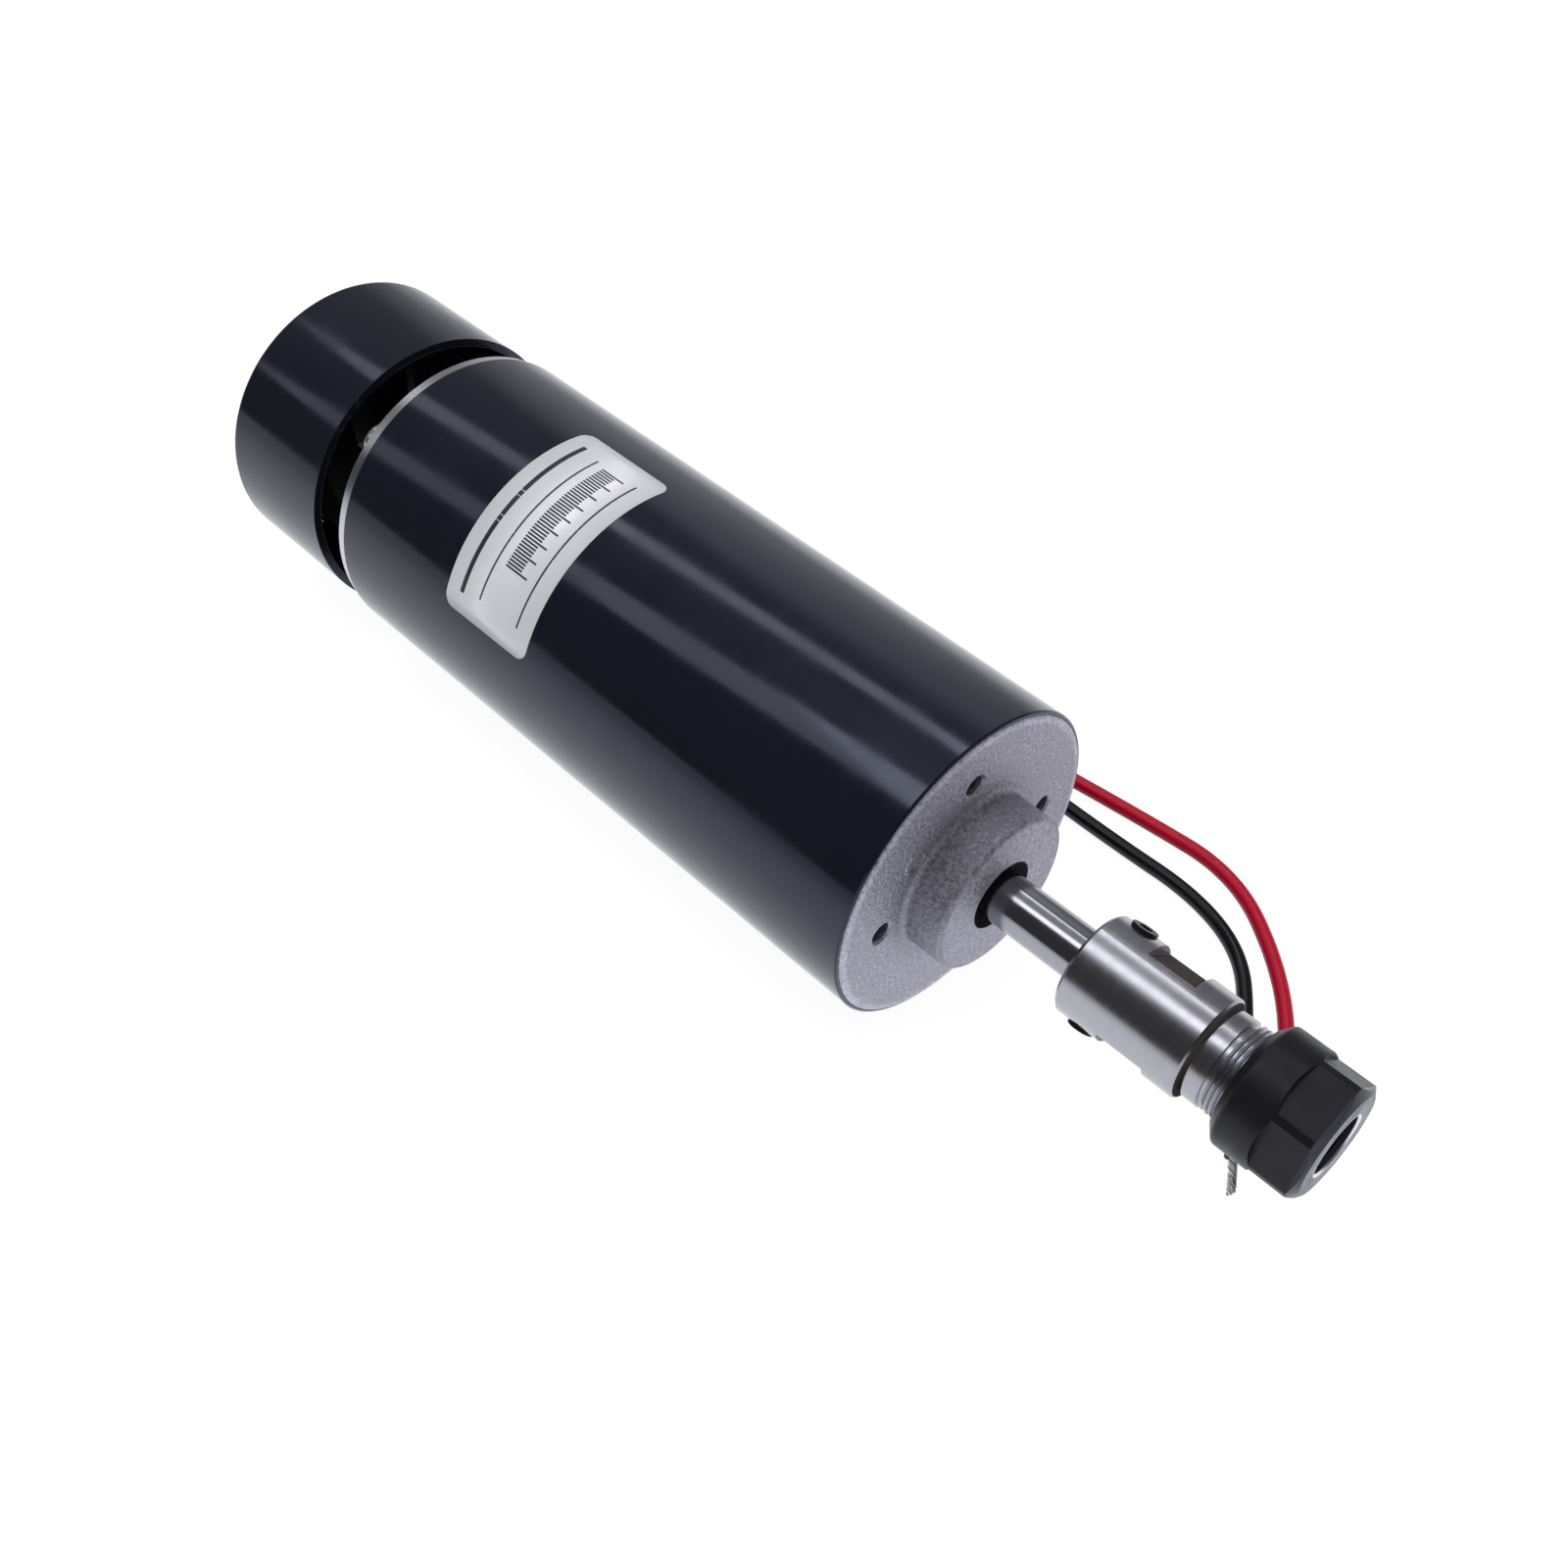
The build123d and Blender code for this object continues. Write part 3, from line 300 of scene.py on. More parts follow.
def turned_metal(name, colour, roughness, groove):
    """Metal with the fine rings that a lathe or grinder leaves round the axis."""
    material, tree, shader = new_material(name, 1.0, roughness, colour)
    rings = noise(tree, turned_place(tree), 0.11 * MM, 4.0, 0.7)
    broad = noise(tree, turned_place(tree), 1.3 * MM, 2.0)
    stain = noise(tree, place_of(tree), 4 * MM, 4.0)
    shade = mix_colour(tree, rings, toned(colour, 0.90), toned(colour, 1.06))
    dulled = mix_colour(tree, ramp(tree, stain, 0.5, 0.8, 0.0, 0.4), shade, toned(colour, 0.82))
    rough = math_node(tree, "MULTIPLY_ADD", broad, 0.12, roughness - 0.06)
    dress(tree, shader, dulled, rough, rings, groove, 0.12 * MM)
    shader.inputs["Anisotropic"].default_value = 0.35
    return material


CHUCK_REAR_X = reach("chuck_body")[0]
NOTCH_FROM_REAR = (7.4, 15.1)
NOTCH_R = (7.88, 7.93)
GROOVE_FROM_REAR = (19.97, 20.5)
GROOVE_R = (7.62, 7.72)
# colour of the painted shade on the cut floors
CUT_SHADE_COLOUR = (0.072, 0.058, 0.060)


def cut_floor(tree, x, r, from_rear, radii):
    """1 on the floor of a cut into the chuck: between two planes and inside a radius."""
    first, last = (CHUCK_REAR_X + v * MM for v in from_rear)
    inside = ramp(tree, r, radii[0] * MM, radii[1] * MM, 1.0, 0.0)
    return both(tree, within(tree, x, first, last), inside)


def chuck_metal(name, colour):
    """Turned steel with painted shade, mottled, on the floors of the wrench notches and the groove."""
    material = turned_metal(name, colour, 0.24, 0.0028 * MM)
    tree = material.node_tree
    shader = tree.nodes["Principled BSDF"]
    turned = shader.inputs["Base Color"].links[0].from_socket
    fine = shader.inputs["Roughness"].links[0].from_socket
    x, r = apart(tree)
    # painted shade on the floors of the wrench notches and the groove
    notch = cut_floor(tree, x, r, NOTCH_FROM_REAR, NOTCH_R)
    groove = cut_floor(tree, x, r, GROOVE_FROM_REAR, GROOVE_R)
    shaded_floor = math_node(tree, "MAXIMUM", notch, groove)
    mottle = noise(tree, place_of(tree), 1.1 * MM, 4.0, 0.65)
    mottled = mix_colour(tree, mottle, toned(CUT_SHADE_COLOUR, 0.6), toned(CUT_SHADE_COLOUR, 1.7))
    connect(tree, mix_colour(tree, shaded_floor, turned, mottled), shader.inputs["Base Color"])
    connect(tree, ramp(tree, shaded_floor, 0.0, 1.0, 1.0, 0.0), shader.inputs["Metallic"])
    # the steel is a metal, so this takes the gleam off the painted-shade floors alone
    shader.inputs["Specular IOR Level"].default_value = 0.0
    rough = math_node(tree, "MAXIMUM", fine, both(tree, shaded_floor, 0.5))
    connect(tree, rough, shader.inputs["Roughness"])
    return material


NUT_FACE_X = reach("collet_nut")[1]
NUT_CHAMFER = 1.02
NUT_RIM = 0.25            # bright rim of the mouth, its depth and its radii
NUT_RIM_R = (4.50, 5.05)
NUT_PAST = 1.0            # the masks run on past the face
RIM_STEEL = (0.80, 0.78, 0.84)


def oxide_metal(name, colour):
    """Black-oxidised steel, rubbed bright round the nut's mouth and paler on its chamfer."""
    material, tree, shader = new_material(name, 0.0, 0.4, colour)
    place = place_of(tree)
    grain = noise(tree, place, 0.25 * MM, 4.0)
    cloud = noise(tree, place, 3.5 * MM, 3.0)
    shade = mix_colour(tree, grain, toned(colour, 0.8), toned(colour, 1.25))
    x, r = apart(tree)
    past = NUT_FACE_X + NUT_PAST * MM
    chamfer = within(tree, x, NUT_FACE_X - NUT_CHAMFER * MM, past, 0.03 * MM)
    mouth = within(tree, x, NUT_FACE_X - NUT_RIM * MM, past)
    rim = both(tree, mouth, within(tree, r, NUT_RIM_R[0] * MM, NUT_RIM_R[1] * MM))
    paler_chamfer = mix_colour(tree, chamfer, shade, toned(colour, 3.2))
    bared = mix_colour(tree, rim, paler_chamfer, RIM_STEEL)
    dull = ramp(tree, cloud, 0.35, 0.7, 0.36, 0.46)
    rough = math_node(tree, "SUBTRACT", dull, both(tree, chamfer, 0.12))
    dress(tree, shader, bared, rough, grain, 0.006 * MM, 0.16 * MM)
    connect(tree, rim, shader.inputs["Metallic"])
    shader.inputs["Specular IOR Level"].default_value = 0.3
    return material


def plain_metal(name, colour, roughness, grain_size=0.5 * MM, depth=0.004 * MM):
    """Stamped, plated or drawn metal with a fine uneven skin."""
    material, tree, shader = new_material(name, 1.0, roughness, colour)
    grain = noise(tree, place_of(tree), grain_size, 4.0)
    shade = mix_colour(tree, grain, toned(colour, 0.86), toned(colour, 1.08))
    rough = ramp(tree, grain, 0.3, 0.7, roughness - 0.06, roughness + 0.08)
    dress(tree, shader, shade, rough, grain, depth, 0.1 * MM)
    return material


def dull_solid(name, colour, roughness):
    """Moulded plastic, rubber, carbon, ferrite or ink."""
    material, tree, shader = new_material(name, 0.0, roughness, colour)
    grain = noise(tree, place_of(tree), 0.6 * MM, 4.0)
    shade = mix_colour(tree, grain, toned(colour, 0.8), toned(colour, 1.2))
    rough = ramp(tree, grain, 0.3, 0.7, roughness - 0.07, roughness + 0.07)
    dress(tree, shader, shade, rough, grain, 0.01 * MM, 0.1 * MM)
    return material


def insulation(name, colour, roughness):
    """Extruded soft plastic with a faint ripple and scuffs."""
    material, tree, shader = new_material(name, 0.0, roughness, colour)
    place = place_of(tree)
    ripple = noise(tree, place, 1.6 * MM, 3.0)
    scuff = noise(tree, place, 6 * MM, 5.0, 0.7)
    scuffed = mix_colour(tree, ramp(tree, scuff, 0.5, 0.8, 0.0, 0.5), colour, toned(colour, 0.78))
    rough = ramp(tree, scuff, 0.35, 0.75, roughness - 0.04, roughness + 0.12)
    dress(tree, shader, scuffed, rough, ripple, 0.0012 * MM)
    shader.inputs["Specular IOR Level"].default_value = 0.3
    return material


def foil(name, colour):
    """Silvered polyester label with a satin print face."""
    material, tree, shader = new_material(name, 0.15, 0.34, colour)
    place = place_of(tree)
    fine = noise(tree, place, 0.12 * MM, 2.0)
    broad = noise(tree, place, 9 * MM, 2.0)
    shade = mix_colour(tree, broad, toned(colour, 0.93), toned(colour, 1.04))
    rough = ramp(tree, fine, 0.3, 0.7, 0.28, 0.40)
    dress(tree, shader, shade, rough, fine, 0.0012 * MM)
    return material


BLACK = (0.0072, 0.0074, 0.0140)
PAINT_GLEAM = (0.74, 0.78, 1.0)
STEEL = (0.41, 0.405, 0.435)
SHAFT_STEEL = (0.35, 0.345, 0.375)

MATERIALS = {
    "tube_paint": gloss_paint("tube_paint", BLACK),
    "cover_paint": gloss_paint("cover_paint", BLACK),
    "cast_cap": cast_metal("cast_cap", (0.48, 0.47, 0.55)),
    "machined_cap": turned_metal("machined_cap", (0.62, 0.62, 0.66), 0.26, 0.004 * MM),
    "ferrite": dull_solid("ferrite", (0.05, 0.05, 0.053), 0.7),
    "zinc_steel": plain_metal("zinc_steel", (0.66, 0.66, 0.68), 0.24),
    "bearing_steel": turned_metal("bearing_steel", (0.60, 0.60, 0.63), 0.16, 0.001 * MM),
    "cage_brass": plain_metal("cage_brass", (0.62, 0.45, 0.18), 0.3),
    "spring_steel": plain_metal("spring_steel", (0.42, 0.42, 0.44), 0.32),
    "ground_steel": turned_metal("ground_steel", SHAFT_STEEL, 0.15, 0.0012 * MM),
    "lamination_steel": turned_metal("lamination_steel", (0.28, 0.28, 0.30), 0.45, 0.02 * MM),
    "copper_wire": plain_metal("copper_wire", (0.50, 0.17, 0.06), 0.32, 0.5 * MM, 0.05 * MM),
    "phenolic": dull_solid("phenolic", (0.13, 0.055, 0.022), 0.5),
    "copper_bar": turned_metal("copper_bar", (0.72, 0.34, 0.18), 0.28, 0.004 * MM),
    "fan_plastic": dull_solid("fan_plastic", (0.018, 0.018, 0.02), 0.42),
    "holder_brass": plain_metal("holder_brass", (0.66, 0.48, 0.19), 0.3),
    "carbon": dull_solid("carbon", (0.03, 0.03, 0.032), 0.6),
    "turned_steel": chuck_metal("turned_steel", STEEL),
    "collet_steel": turned_metal("collet_steel", (0.40, 0.40, 0.43), 0.28, 0.002 * MM),
    "black_steel": oxide_metal("black_steel", (0.0085, 0.0085, 0.0125)),
    "black_rubber": dull_solid("black_rubber", (0.02, 0.02, 0.021), 0.55),
    "red_insulation": insulation("red_insulation", (0.52, 0.0, 0.024), 0.3),
    "black_insulation": insulation("black_insulation", (0.005, 0.005, 0.008), 0.22),
    "tinned_copper": plain_metal("tinned_copper", (0.72, 0.71, 0.68), 0.34, 0.3 * MM, 0.01 * MM),
    "label_foil": foil("label_foil", (0.93, 0.93, 0.99)),
    "label_ink": dull_solid("label_ink", (0.03, 0.03, 0.035), 0.4),
}


def dress_cad_nodes():
    """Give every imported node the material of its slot."""
    slots = {part["node"]: part["material_slot"] for part in frame["record"]["subparts"]}
    for name, node in frame["nodes"].items():
        node.data.materials.clear()
        node.data.materials.append(MATERIALS[slots[name]])


# -------------------------------------------------------------------- pieces
def new_piece(name, points, faces, body, material, smooth=True):
    mesh = bpy.data.meshes.new(name)
    mesh.from_pydata([tuple(p) for p in points], [], faces)
    mesh.validate()
    mesh.update()
    for face in mesh.polygons:
        face.use_smooth = smooth
    mesh.materials.append(MATERIALS[material])
    piece = bpy.data.objects.new(name, mesh)
    bpy.context.scene.collection.objects.link(piece)
    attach(piece, body)
    return piece


# Lead wires. Their points are the same as in the part's source.
LEAD_R = 1.25
LEAD_PITCH = 4.6
LEAD_PLACE = 20.99
LEAD_ANGLE = -22.0
LEAD_START_X = -115.1
LEAD_TURN_X = -123.5
LEAD_OUT_R = 30.8
LEAD_Z = -24.75


def lead_exit(x, r, side):
    """Point at radius r on the way out of a lead, on one side of the grommet."""
    a = radians(LEAD_ANGLE)
    across = side * LEAD_PITCH / 2
    return (x, r * cos(a) - across * sin(a), r * sin(a) + across * cos(a))


def lead_way_out(side):
    """Straight out of the grommet, then away from the axis through the gap."""
    return [
        lead_exit(LEAD_START_X, LEAD_PLACE, side),
        lead_exit(LEAD_TURN_X, LEAD_PLACE, side),
        lead_exit(LEAD_TURN_X, LEAD_OUT_R, side),
    ]


RED_ROUTE = lead_way_out(1) + [
    (-121.2, 36.8, -14.6),
    (-113.5, 42.6, -20.8),
    (-102.0, 45.6, -24.4),
    (-88.0, 45.6, LEAD_Z),
    (-68.0, 44.4, LEAD_Z),
    (-44.0, 42.4, LEAD_Z),
    (-20.0, 42.8, LEAD_Z),
    (1.0, 45.2, LEAD_Z),
    (19.6, 46.6, LEAD_Z),
    (35.6, 36.0, LEAD_Z),
    (45.6, 24.0, LEAD_Z),
    (52.0, 14.0, LEAD_Z),
]
BLACK_ROUTE = lead_way_out(-1) + [
    (-121.0, 33.4, -18.2),
    (-113.0, 37.4, -22.8),
    (-101.0, 39.2, LEAD_Z),
    (-84.0, 39.4, LEAD_Z),
    (-62.0, 37.8, LEAD_Z),
    (-40.0, 37.2, LEAD_Z),
    (-18.0, 38.4, LEAD_Z),
    (2.0, 38.0, LEAD_Z),
    (17.6, 38.4, LEAD_Z),
    (29.6, 34.2, LEAD_Z),
    (37.6, 24.4, LEAD_Z),
    (44.6, 12.6, LEAD_Z),
    (49.8, 4.2, LEAD_Z),
]
RED_TIN = (55.2, 9.2, LEAD_Z)
BLACK_TIN = (53.2, -0.9, LEAD_Z)


def new_curve(name, radius, sides):
    """Curve with a round section of that radius in metres, and no spline yet."""
    data = bpy.data.curves.new(name, "CURVE")
    data.dimensions = "3D"
    data.bevel_depth = radius
    data.bevel_resolution = sides
    data.use_fill_caps = True
    curve = bpy.data.objects.new(name, data)
    bpy.context.scene.collection.objects.link(curve)
    return curve


def add_spline(curve, points):
    """One open smooth NURBS spline with these control points, in metres."""
    spline = curve.data.splines.new("NURBS")
    spline.points.add(len(points) - 1)
    for target, point in zip(spline.points, points):
        target.co = (*point, 1.0)
    spline.order_u = 3
    spline.use_endpoint_u = True


def centre_line(curve):
    """Points of a curve's own line, read from its spline."""
    depth = curve.data.bevel_depth
    curve.data.bevel_depth = 0.0
    graph = bpy.context.evaluated_depsgraph_get()
    graph.update()
    mesh = bpy.data.meshes.new_from_object(curve.evaluated_get(graph))
    points = [v.co.copy() for v in mesh.vertices]
    bpy.data.meshes.remove(mesh)
    curve.data.bevel_depth = depth
    return points


def as_mesh(curve, material):
    """Put the tube that a curve draws in the curve's place, as a mesh whose box is its own."""
    graph = bpy.context.evaluated_depsgraph_get()
    graph.update()
    mesh = bpy.data.meshes.new_from_object(curve.evaluated_get(graph))
    name = curve.name
    bpy.data.objects.remove(curve)
    mesh.name = name
    mesh.materials.clear()
    mesh.materials.append(MATERIALS[material])
    for face in mesh.polygons:
        # the caps at the ends have more corners, and stay flat
        face.use_smooth = len(face.vertices) == 4
    piece = bpy.data.objects.new(name, mesh)
    bpy.context.scene.collection.objects.link(piece)
    return piece


STRAND_R = 0.17
STRAND_RINGS = ((1, 0.0), (4, 0.28), (7, 0.53))  # how many strands, and how far from the middle
STRAND_TURNS = 1.1
STRAND_STEPS = 24
STRAND_FLARE = 0.08       # some strands lean out at the tip, others in
STRAND_SHORT = 0.10       # the shortest strand ends that much early
GOLDEN_TURN = 0.381966


def make_strands(name, start, tip, node):
    """Twisted bundle of tinned wires that loosens towards its tip."""
    way = tip - start
    side = way.normalized().cross(Vector((0, 0, 1))).normalized()
    up = side.cross(way.normalized())
    bundle = new_curve(name, STRAND_R * MM, 3)
    radii = [radius for count, radius in STRAND_RINGS for _ in range(count)]
    for i, ring in enumerate(radii):
        phase = tau * i * GOLDEN_TURN
        # the strands end at five lengths, in a mixed order
        reached = 1.0 - STRAND_SHORT * (7 * i % 5) / 4
        points = []
        for step in range(STRAND_STEPS):
            t = step / (STRAND_STEPS - 1) * reached
            turn = phase + tau * STRAND_TURNS * t
            spread = ring * (1.0 + STRAND_FLARE * t * (i % 3 - 1)) * MM
            points.append(start + way * t + side * (spread * cos(turn)) + up * (spread * sin(turn)))
        add_spline(bundle, points)
    piece = as_mesh(bundle, "tinned_copper")
    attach(piece, "housing")
    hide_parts(node)
    return piece


def make_lead(colour, route, tip):
    """Insulated wire along its route, with its bare strands at the far end."""
    curve = new_curve(f"{colour}_lead", LEAD_R * MM, 8)
    curve.data.resolution_u = 16
    add_spline(curve, [[MM * v for v in point] for point in route])
    line = centre_line(curve)
    wire = as_mesh(curve, f"{colour}_insulation")
    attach(wire, "housing")
    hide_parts(f"lead_wire_{colour}")
    end = make_strands(f"{colour}_lead_strands", line[-1], Vector(tip) * MM, f"lead_end_{colour}")


# Coil springs that push the brushes in
SPRING_WIRE_R = 0.22
SPRING_TURNS = 4
SPRING_STEPS = 20


def make_brush_spring(place, side):
    """Coil spring wound inside the box of its node, whose place it takes."""
    node = f"brush_spring_{place}"
    low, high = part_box(node)
    near, far = sorted((abs(low.z), abs(high.z)))
    wire = SPRING_WIRE_R * MM
    ring = (high.x - low.x) / 2 - wire
    x = (low.x + high.x) / 2
    count = SPRING_TURNS * SPRING_STEPS
    points = []
    for i in range(count + 1):
        turn = tau * i / SPRING_STEPS
        height = near + wire + (far - near - 2 * wire) * i / count
        points.append((x + ring * cos(turn), ring * sin(turn), side * height))
    coil = new_curve(f"{place}_brush_coil", wire, 3)
    add_spline(coil, points)
    piece = as_mesh(coil, "spring_steel")
    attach(piece, "housing")
    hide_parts(node)
    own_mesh(piece)


# Label on the tube, bare but for ruled lines and an even scale
LABEL_X = (-88.9, -69.1)
LABEL_ANGLES = (74.5, 159.5)
LABEL_CORNER = 2.0
LABEL_THICK = 0.06
LABEL_UNDER = 0.002       # its back lies just off the paint
LABEL_ROWS = 60


def wrapped_strip(name, x_range, angles, lift, corner, rows, material):
    """Thin plate with round corners, wrapped round the tube."""
    r = TUBE_R + lift * MM
    arc = radians(angles[1] - angles[0]) * TUBE_R / MM
    points, faces = [], []
    for row in range(rows + 1):
        # rows crowd towards both ends, where the corners are
        share = 0.5 - 0.5 * cos(pi * row / rows)
        along = share * arc
        inset = 0.0
        depth = min(along, arc - along)
        if corner and depth < corner:
            inset = corner - (corner**2 - (corner - depth) ** 2) ** 0.5
        angle = angles[0] + share * (angles[1] - angles[0])
        for x in (x_range[0] + inset, x_range[1] - inset):
            points.append(on_surface(x * MM, angle, r))
            points.append(on_surface(x * MM, angle, TUBE_R + LABEL_UNDER * MM))
    for row in range(rows):
        a = 4 * row
        b = a + 4
        faces.append((a, a + 2, b + 2, b))
        faces.append((a + 1, a, b, b + 1))
        faces.append((a + 2, a + 3, b + 3, b + 2))
    return new_piece(name, points, faces, "housing", material)


INK_THICK = 0.006
# ruled lines: place along x, width, and first and last angle
RULES = ((-86.0, 0.9, 82.0, 152.0), (-81.6, 0.35, 84.0, 150.0), (-72.6, 0.35, 84.0, 150.0))
RULE_ROWS = 40
SCALE_X = -79.4
SCALE_LONG = 5.0
SCALE_SHORT = 3.4
SCALE_LONG_EACH = 5
SCALE_ANGLES = (86.0, 134.0)
SCALE_TICKS = 41
TICK_WIDTH = 0.7          # degrees


def make_label():
    wrapped_strip(
        "rating_label", LABEL_X, LABEL_ANGLES, LABEL_THICK, LABEL_CORNER, LABEL_ROWS,
        "label_foil",
    )
    ink = LABEL_THICK + INK_THICK
    for number, (x, width, low, high) in enumerate(RULES):
        wrapped_strip(
            f"label_rule_{number + 1}", (x, x + width), (low, high), ink, 0, RULE_ROWS,
            "label_ink",
        )
    points, faces = [], []
    for tick in range(SCALE_TICKS):
        share = tick / (SCALE_TICKS - 1)
        middle = SCALE_ANGLES[0] + (SCALE_ANGLES[1] - SCALE_ANGLES[0]) * share
        height = SCALE_LONG if tick % SCALE_LONG_EACH == 0 else SCALE_SHORT
        first = len(points)
        for angle in (middle - TICK_WIDTH / 2, middle + TICK_WIDTH / 2):
            for x in (SCALE_X, SCALE_X + height):
                points.append(on_surface(x * MM, angle, TUBE_R + ink * MM))
        faces.append((first, first + 1, first + 3, first + 2))
    new_piece("label_scale", points, faces, "housing", "label_ink")


# Thread of the chuck, which the nut runs on
THREAD_PITCH = 0.75
THREAD_CREST_R = 6.93
THREAD_ROOT_R = 6.45
THREAD_FLAT = 0.10        # width of the crest
THREAD_BASE = 0.64
THREAD_RUN = (46.75, 56.0)
THREAD_STEPS = 60         # in one turn


def make_thread():
    turns = (THREAD_RUN[1] - THREAD_RUN[0]) / THREAD_PITCH
    total = round(turns * THREAD_STEPS)
    points, faces = [], []
    for step in range(total + 1):
        turned = step / THREAD_STEPS
        x = THREAD_RUN[0] + THREAD_PITCH * turned
        # both ends run out over half a turn
        rise = min(1.0, 2 * turned, 2 * (turns - turned))
        crest = THREAD_ROOT_R + (THREAD_CREST_R - THREAD_ROOT_R) * max(rise, 0.02)
        for dx, r in (
            (-THREAD_BASE / 2, THREAD_ROOT_R),
            (-THREAD_FLAT / 2, crest),
            (THREAD_FLAT / 2, crest),
            (THREAD_BASE / 2, THREAD_ROOT_R),
        ):
            points.append(on_surface((x + dx) * MM, -360 * turned, r * MM))
    for step in range(total):
        a = 4 * step
        b = a + 4
        for i in range(3):
            faces.append((a + i, a + i + 1, b + i + 1, b + i))
        faces.append((a + 3, a, b, b + 3))
    faces.append((3, 2, 1, 0))
    faces.append(tuple(4 * total + i for i in range(4)))
    new_piece("chuck_thread", points, faces, "rotor", "turned_steel", smooth=False)


# Mark of an ejector pin on the cast front cap: a low ring with two drops of metal
MARK_PLACE = (-11.3, 11.0)
MARK_R = 1.75
MARK_WIDTH = 0.5
MARK_HEIGHT = 0.34
MARK_DROPS = ((-1.6, -0.9, 0.48), (1.3, 1.2, 0.32))
MARK_DROP_RISE = 0.9      # height of a drop as a share of its radius
MARK_SINK = 0.02          # its edges lie that deep in the face
MARK_STEPS = 40


def dome(centre, r, height, rings=5, around=20):
    """Low round drop on the front face, as points and faces."""
    points = [(height * MM, centre[0] * MM, centre[1] * MM)]
    faces = []
    for ring in range(1, rings + 1):
        share = ring / rings
        x = -MARK_SINK if ring == rings else height * cos(share * pi / 2)
        for i in range(around):
            a = tau * i / around
            y = centre[0] + share * r * cos(a)
            z = centre[1] + share * r * sin(a)
            points.append((x * MM, y * MM, z * MM))
    for i in range(around):
        j = (i + 1) % around
        faces.append((0, 1 + i, 1 + j))
        for ring in range(rings - 1):
            a = 1 + ring * around
            b = a + around
            faces.append((a + i, b + i, b + j, a + j))
    return points, faces


def make_cast_mark():
    y0, z0 = MARK_PLACE
    inner, outer = MARK_R - MARK_WIDTH / 2, MARK_R + MARK_WIDTH / 2
    points, faces = [], []
    for i in range(MARK_STEPS):
        a = tau * i / MARK_STEPS
        for r, x in ((inner, -MARK_SINK), (MARK_R, MARK_HEIGHT), (outer, -MARK_SINK)):
            points.append((x * MM, (y0 + r * cos(a)) * MM, (z0 + r * sin(a)) * MM))
    for i in range(MARK_STEPS):
        a = 3 * i
        b = 3 * ((i + 1) % MARK_STEPS)
        faces.append((a, b, b + 1, a + 1))
        faces.append((a + 1, b + 1, b + 2, a + 2))
    for dy, dz, r in MARK_DROPS:
        more, new_faces = dome((y0 + dy, z0 + dz), r, MARK_DROP_RISE * r)
        first = len(points)
        points += more
        faces += [tuple(first + v for v in face) for face in new_faces]
    new_piece("cast_mark", points, faces, "housing", "cast_cap")


# ------------------------------------------------------------- light and table
TABLE_SIZE = 12.0
TABLE_CENTRE = (-0.04, 0.0)
TABLE_GAP = 0.00005       # under the tube, so that no faces meet
TABLE_LIT = 0.22          # share of the light that it throws back
TABLE_GLOW = 0.90         # how much of its white is its own
WHITE = (1.0, 1.0, 1.0)
COOL_GLOW = (0.93, 0.94, 1.0)
TABLE_NEAR = 0.05
TABLE_FAR = 0.38
TABLE_FAR_SHARE = 0.45     # how bright a reflection sees the far table


def seen_ray(tree, rays):
    """1 for rays that the camera sends, straight or through glass."""
    return math_node(tree, "MAXIMUM", rays.outputs["Is Camera Ray"], rays.outputs["Is Transmission Ray"])


def stage_material(name):
    """White surface that the camera and reflections see as white, with its shadows."""
    material = bpy.data.materials.new(name)
    material.use_nodes = True
    tree = material.node_tree
    tree.nodes.clear()
    out = add_node(tree, "ShaderNodeOutputMaterial")
    rays = add_node(tree, "ShaderNodeLightPath")
    diffuse = add_node(tree, "ShaderNodeBsdfDiffuse")
    diffuse.inputs["Color"].default_value = (TABLE_LIT, TABLE_LIT, TABLE_LIT, 1.0)
    glossy = rays.outputs["Is Glossy Ray"]
    seen = seen_ray(tree, rays)
    distance = add_node(tree, "ShaderNodeVectorMath", operation="LENGTH")
    connect(tree, place_of(tree), distance.inputs[0])
    fade = ramp(tree, distance.outputs["Value"], TABLE_NEAR, TABLE_FAR, 1.0, TABLE_FAR_SHARE, False)
    strength = math_node(tree, "MAXIMUM", both(tree, seen, TABLE_GLOW), both(tree, glossy, fade))
    emission = add_node(tree, "ShaderNodeEmission")
    connect(tree, mix_colour(tree, glossy, WHITE, COOL_GLOW), emission.inputs["Color"])
    connect(tree, strength, emission.inputs["Strength"])
    added = add_node(tree, "ShaderNodeAddShader")
    connect(tree, diffuse.outputs[0], added.inputs[0])
    connect(tree, emission.outputs[0], added.inputs[1])
    connect(tree, added.outputs[0], out.inputs["Surface"])
    return material


def make_table():
    mesh = bpy.data.meshes.new("table")
    half = TABLE_SIZE / 2
    corners = [(-half, -half, 0), (half, -half, 0), (half, half, 0), (-half, half, 0)]
    mesh.from_pydata(corners, [], [(0, 1, 2, 3)])
    mesh.materials.append(stage_material("table_white"))
    table = bpy.data.objects.new("table", mesh)
    table.location = (*TABLE_CENTRE, FLOOR_Z - TABLE_GAP)
    bpy.context.scene.collection.objects.link(table)


WORLD_DIFFUSE = 0.62
STUDIO_DARK = 0.065
STUDIO_BACK = 0.22
STUDIO_PATCH = 0.44       # a paler screen behind the object
STUDIO_TOP = 0.30
BACK_AZIMUTH = 125.0      # the way to the screen, degrees from +X towards +Y
# where each part of the studio fades in or out: the cosine of the angle from the
# screen, and for the last two the height of the direction
BACK_FADE = (-0.2, 0.8)
SCREEN_FADE = (0.952, 1.0)
SCREEN_UPPER = (0.50, 0.75)
TOP_FADE = (0.82, 0.95)


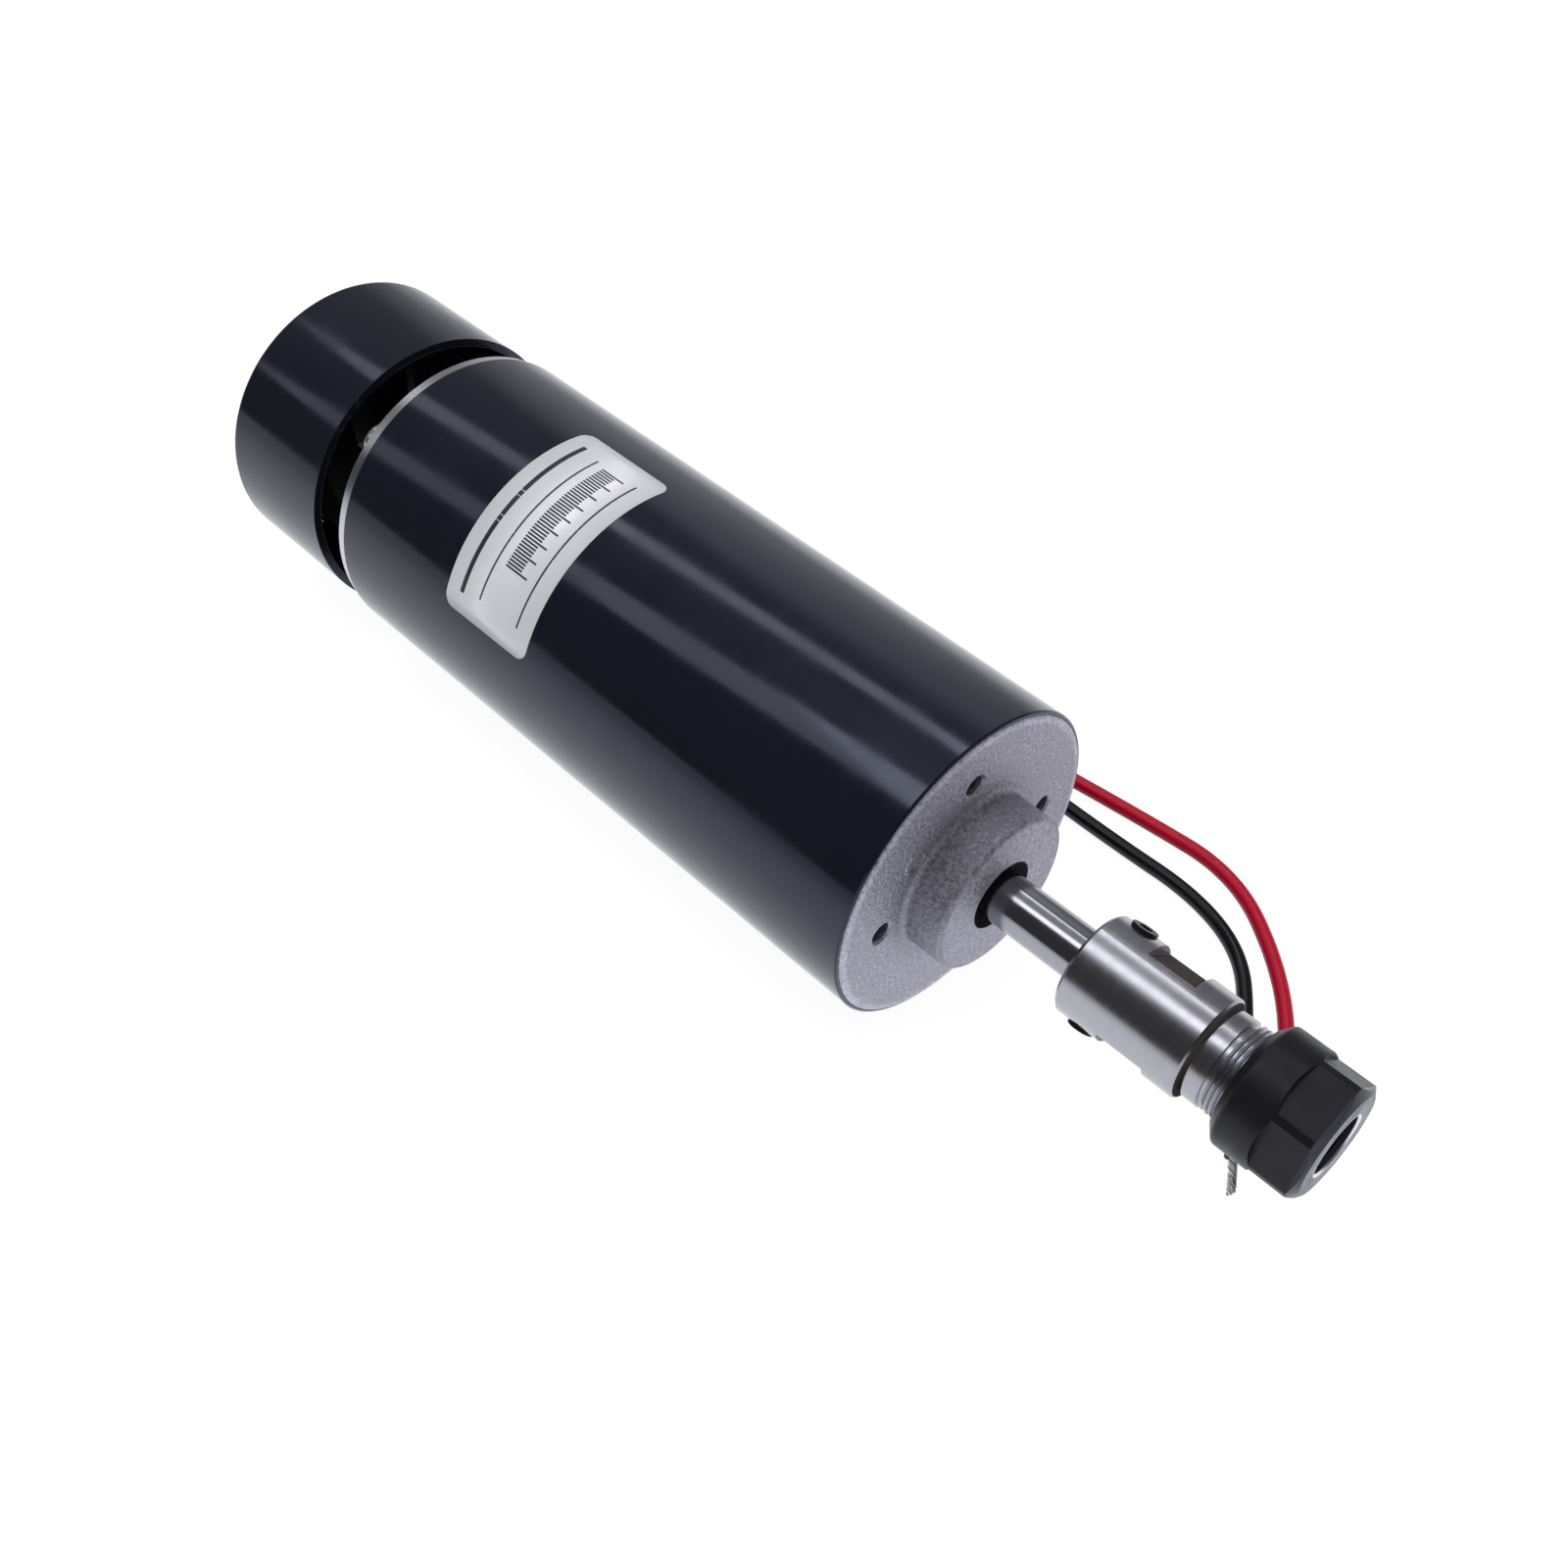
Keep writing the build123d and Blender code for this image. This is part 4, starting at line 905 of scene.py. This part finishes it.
def make_world():
    """White for the camera. Reflections see a dim studio, paler behind the object."""
    world = bpy.data.worlds.new("studio")
    bpy.context.scene.world = world
    world.use_nodes = True
    tree = world.node_tree
    tree.nodes.clear()
    out = add_node(tree, "ShaderNodeOutputWorld")
    back = add_node(tree, "ShaderNodeBackground")
    rays = add_node(tree, "ShaderNodeLightPath")
    split = add_node(tree, "ShaderNodeSeparateXYZ")
    connect(tree, add_node(tree, "ShaderNodeTexCoord").outputs["Generated"], split.inputs[0])
    level = add_node(tree, "ShaderNodeCombineXYZ")
    connect(tree, split.outputs["X"], level.inputs["X"])
    connect(tree, split.outputs["Y"], level.inputs["Y"])
    along = add_node(tree, "ShaderNodeVectorMath", operation="NORMALIZE")
    connect(tree, level.outputs[0], along.inputs[0])
    facing = add_node(tree, "ShaderNodeVectorMath", operation="DOT_PRODUCT")
    connect(tree, along.outputs["Vector"], facing.inputs[0])
    a = radians(BACK_AZIMUTH)
    facing.inputs[1].default_value = (cos(a), sin(a), 0.0)
    side = ramp(tree, facing.outputs["Value"], *BACK_FADE, STUDIO_DARK, STUDIO_BACK)
    screen = ramp(tree, facing.outputs["Value"], *SCREEN_FADE, 0.0, STUDIO_PATCH)
    low = ramp(tree, split.outputs["Z"], *SCREEN_UPPER, 1.0, 0.0)
    top = ramp(tree, split.outputs["Z"], *TOP_FADE, 0.0, STUDIO_TOP)
    pale = math_node(tree, "ADD", math_node(tree, "ADD", side, both(tree, screen, low)), top)
    seen = seen_ray(tree, rays)
    glossy = rays.outputs["Is Glossy Ray"]
    rest = math_node(tree, "SUBTRACT", 1.0, math_node(tree, "MAXIMUM", seen, glossy))
    shown = math_node(tree, "ADD", seen, both(tree, glossy, pale))
    total = math_node(tree, "ADD", shown, both(tree, rest, WORLD_DIFFUSE))
    connect(tree, total, back.inputs["Strength"])
    connect(tree, mix_colour(tree, glossy, WHITE, COOL_GLOW), back.inputs["Color"])
    connect(tree, back.outputs[0], out.inputs["Surface"])


STRIP_HEIGHT = 0.6
LAMP_TINT = (0.95, 0.96, 1.0)
# name, both ends over the table, width, radiance: two long strips, each brighter over the chuck
STRIPS = (
    ("strip_back_far", (-0.78, -0.03), (-0.56, 0.13), 0.10, 1.3),
    ("strip_back_mid", (-0.56, 0.13), (-0.30, 0.300), 0.10, 2.0),
    ("strip_back_near", (-0.30, 0.270), (-0.06, 0.40), 0.11, 3.6),
    ("strip_front_far", (-1.20, -0.74), (-0.62, -0.39), 0.13, 0.9),
    ("strip_front_mid", (-0.62, -0.39), (-0.33, -0.21), 0.14, 1.35),
    ("strip_front_near", (-0.33, -0.21), (-0.02, -0.02), 0.15, 2.7),
)
KEY_PLACE = (0.55, -0.45, 0.75)
KEY_SIZE = 0.6
KEY_RADIANCE = 1.1


def area_light(name, place, target, size_x, size_y, radiance):
    data = bpy.data.lights.new(name, "AREA")
    data.shape = "RECTANGLE"
    data.size = size_x
    data.size_y = size_y
    data.energy = radiance * pi * size_x * size_y
    data.color = LAMP_TINT
    lamp = bpy.data.objects.new(name, data)
    lamp.location = place
    lamp.visible_camera = False
    bpy.context.scene.collection.objects.link(lamp)
    way = Vector(target) - Vector(place)
    lamp.rotation_euler = way.to_track_quat("-Z", "Y").to_euler()
    return lamp


def make_lights():
    for name, start, end, width, radiance in STRIPS:
        a, b = Vector(start), Vector(end)
        middle = (a + b) / 2
        lamp = area_light(name, (*middle, STRIP_HEIGHT), (*middle, 0.0), (b - a).length, width, radiance)
        lamp.rotation_euler = (0.0, 0.0, (b - a).angle_signed(Vector((1.0, 0.0))))
    key = area_light("key", KEY_PLACE, (0.0, 0.0, 0.0), KEY_SIZE, KEY_SIZE, KEY_RADIANCE)
    key.visible_glossy = False


make_camera()
make_lead("red", RED_ROUTE, RED_TIN)
make_lead("black", BLACK_ROUTE, BLACK_TIN)
dress_cad_nodes()
make_label()
make_thread()
make_cast_mark()
make_brush_spring("upper", 1)
make_brush_spring("lower", -1)
make_table()
make_world()
make_lights()
bpy.context.scene.view_settings.view_transform = "Standard"
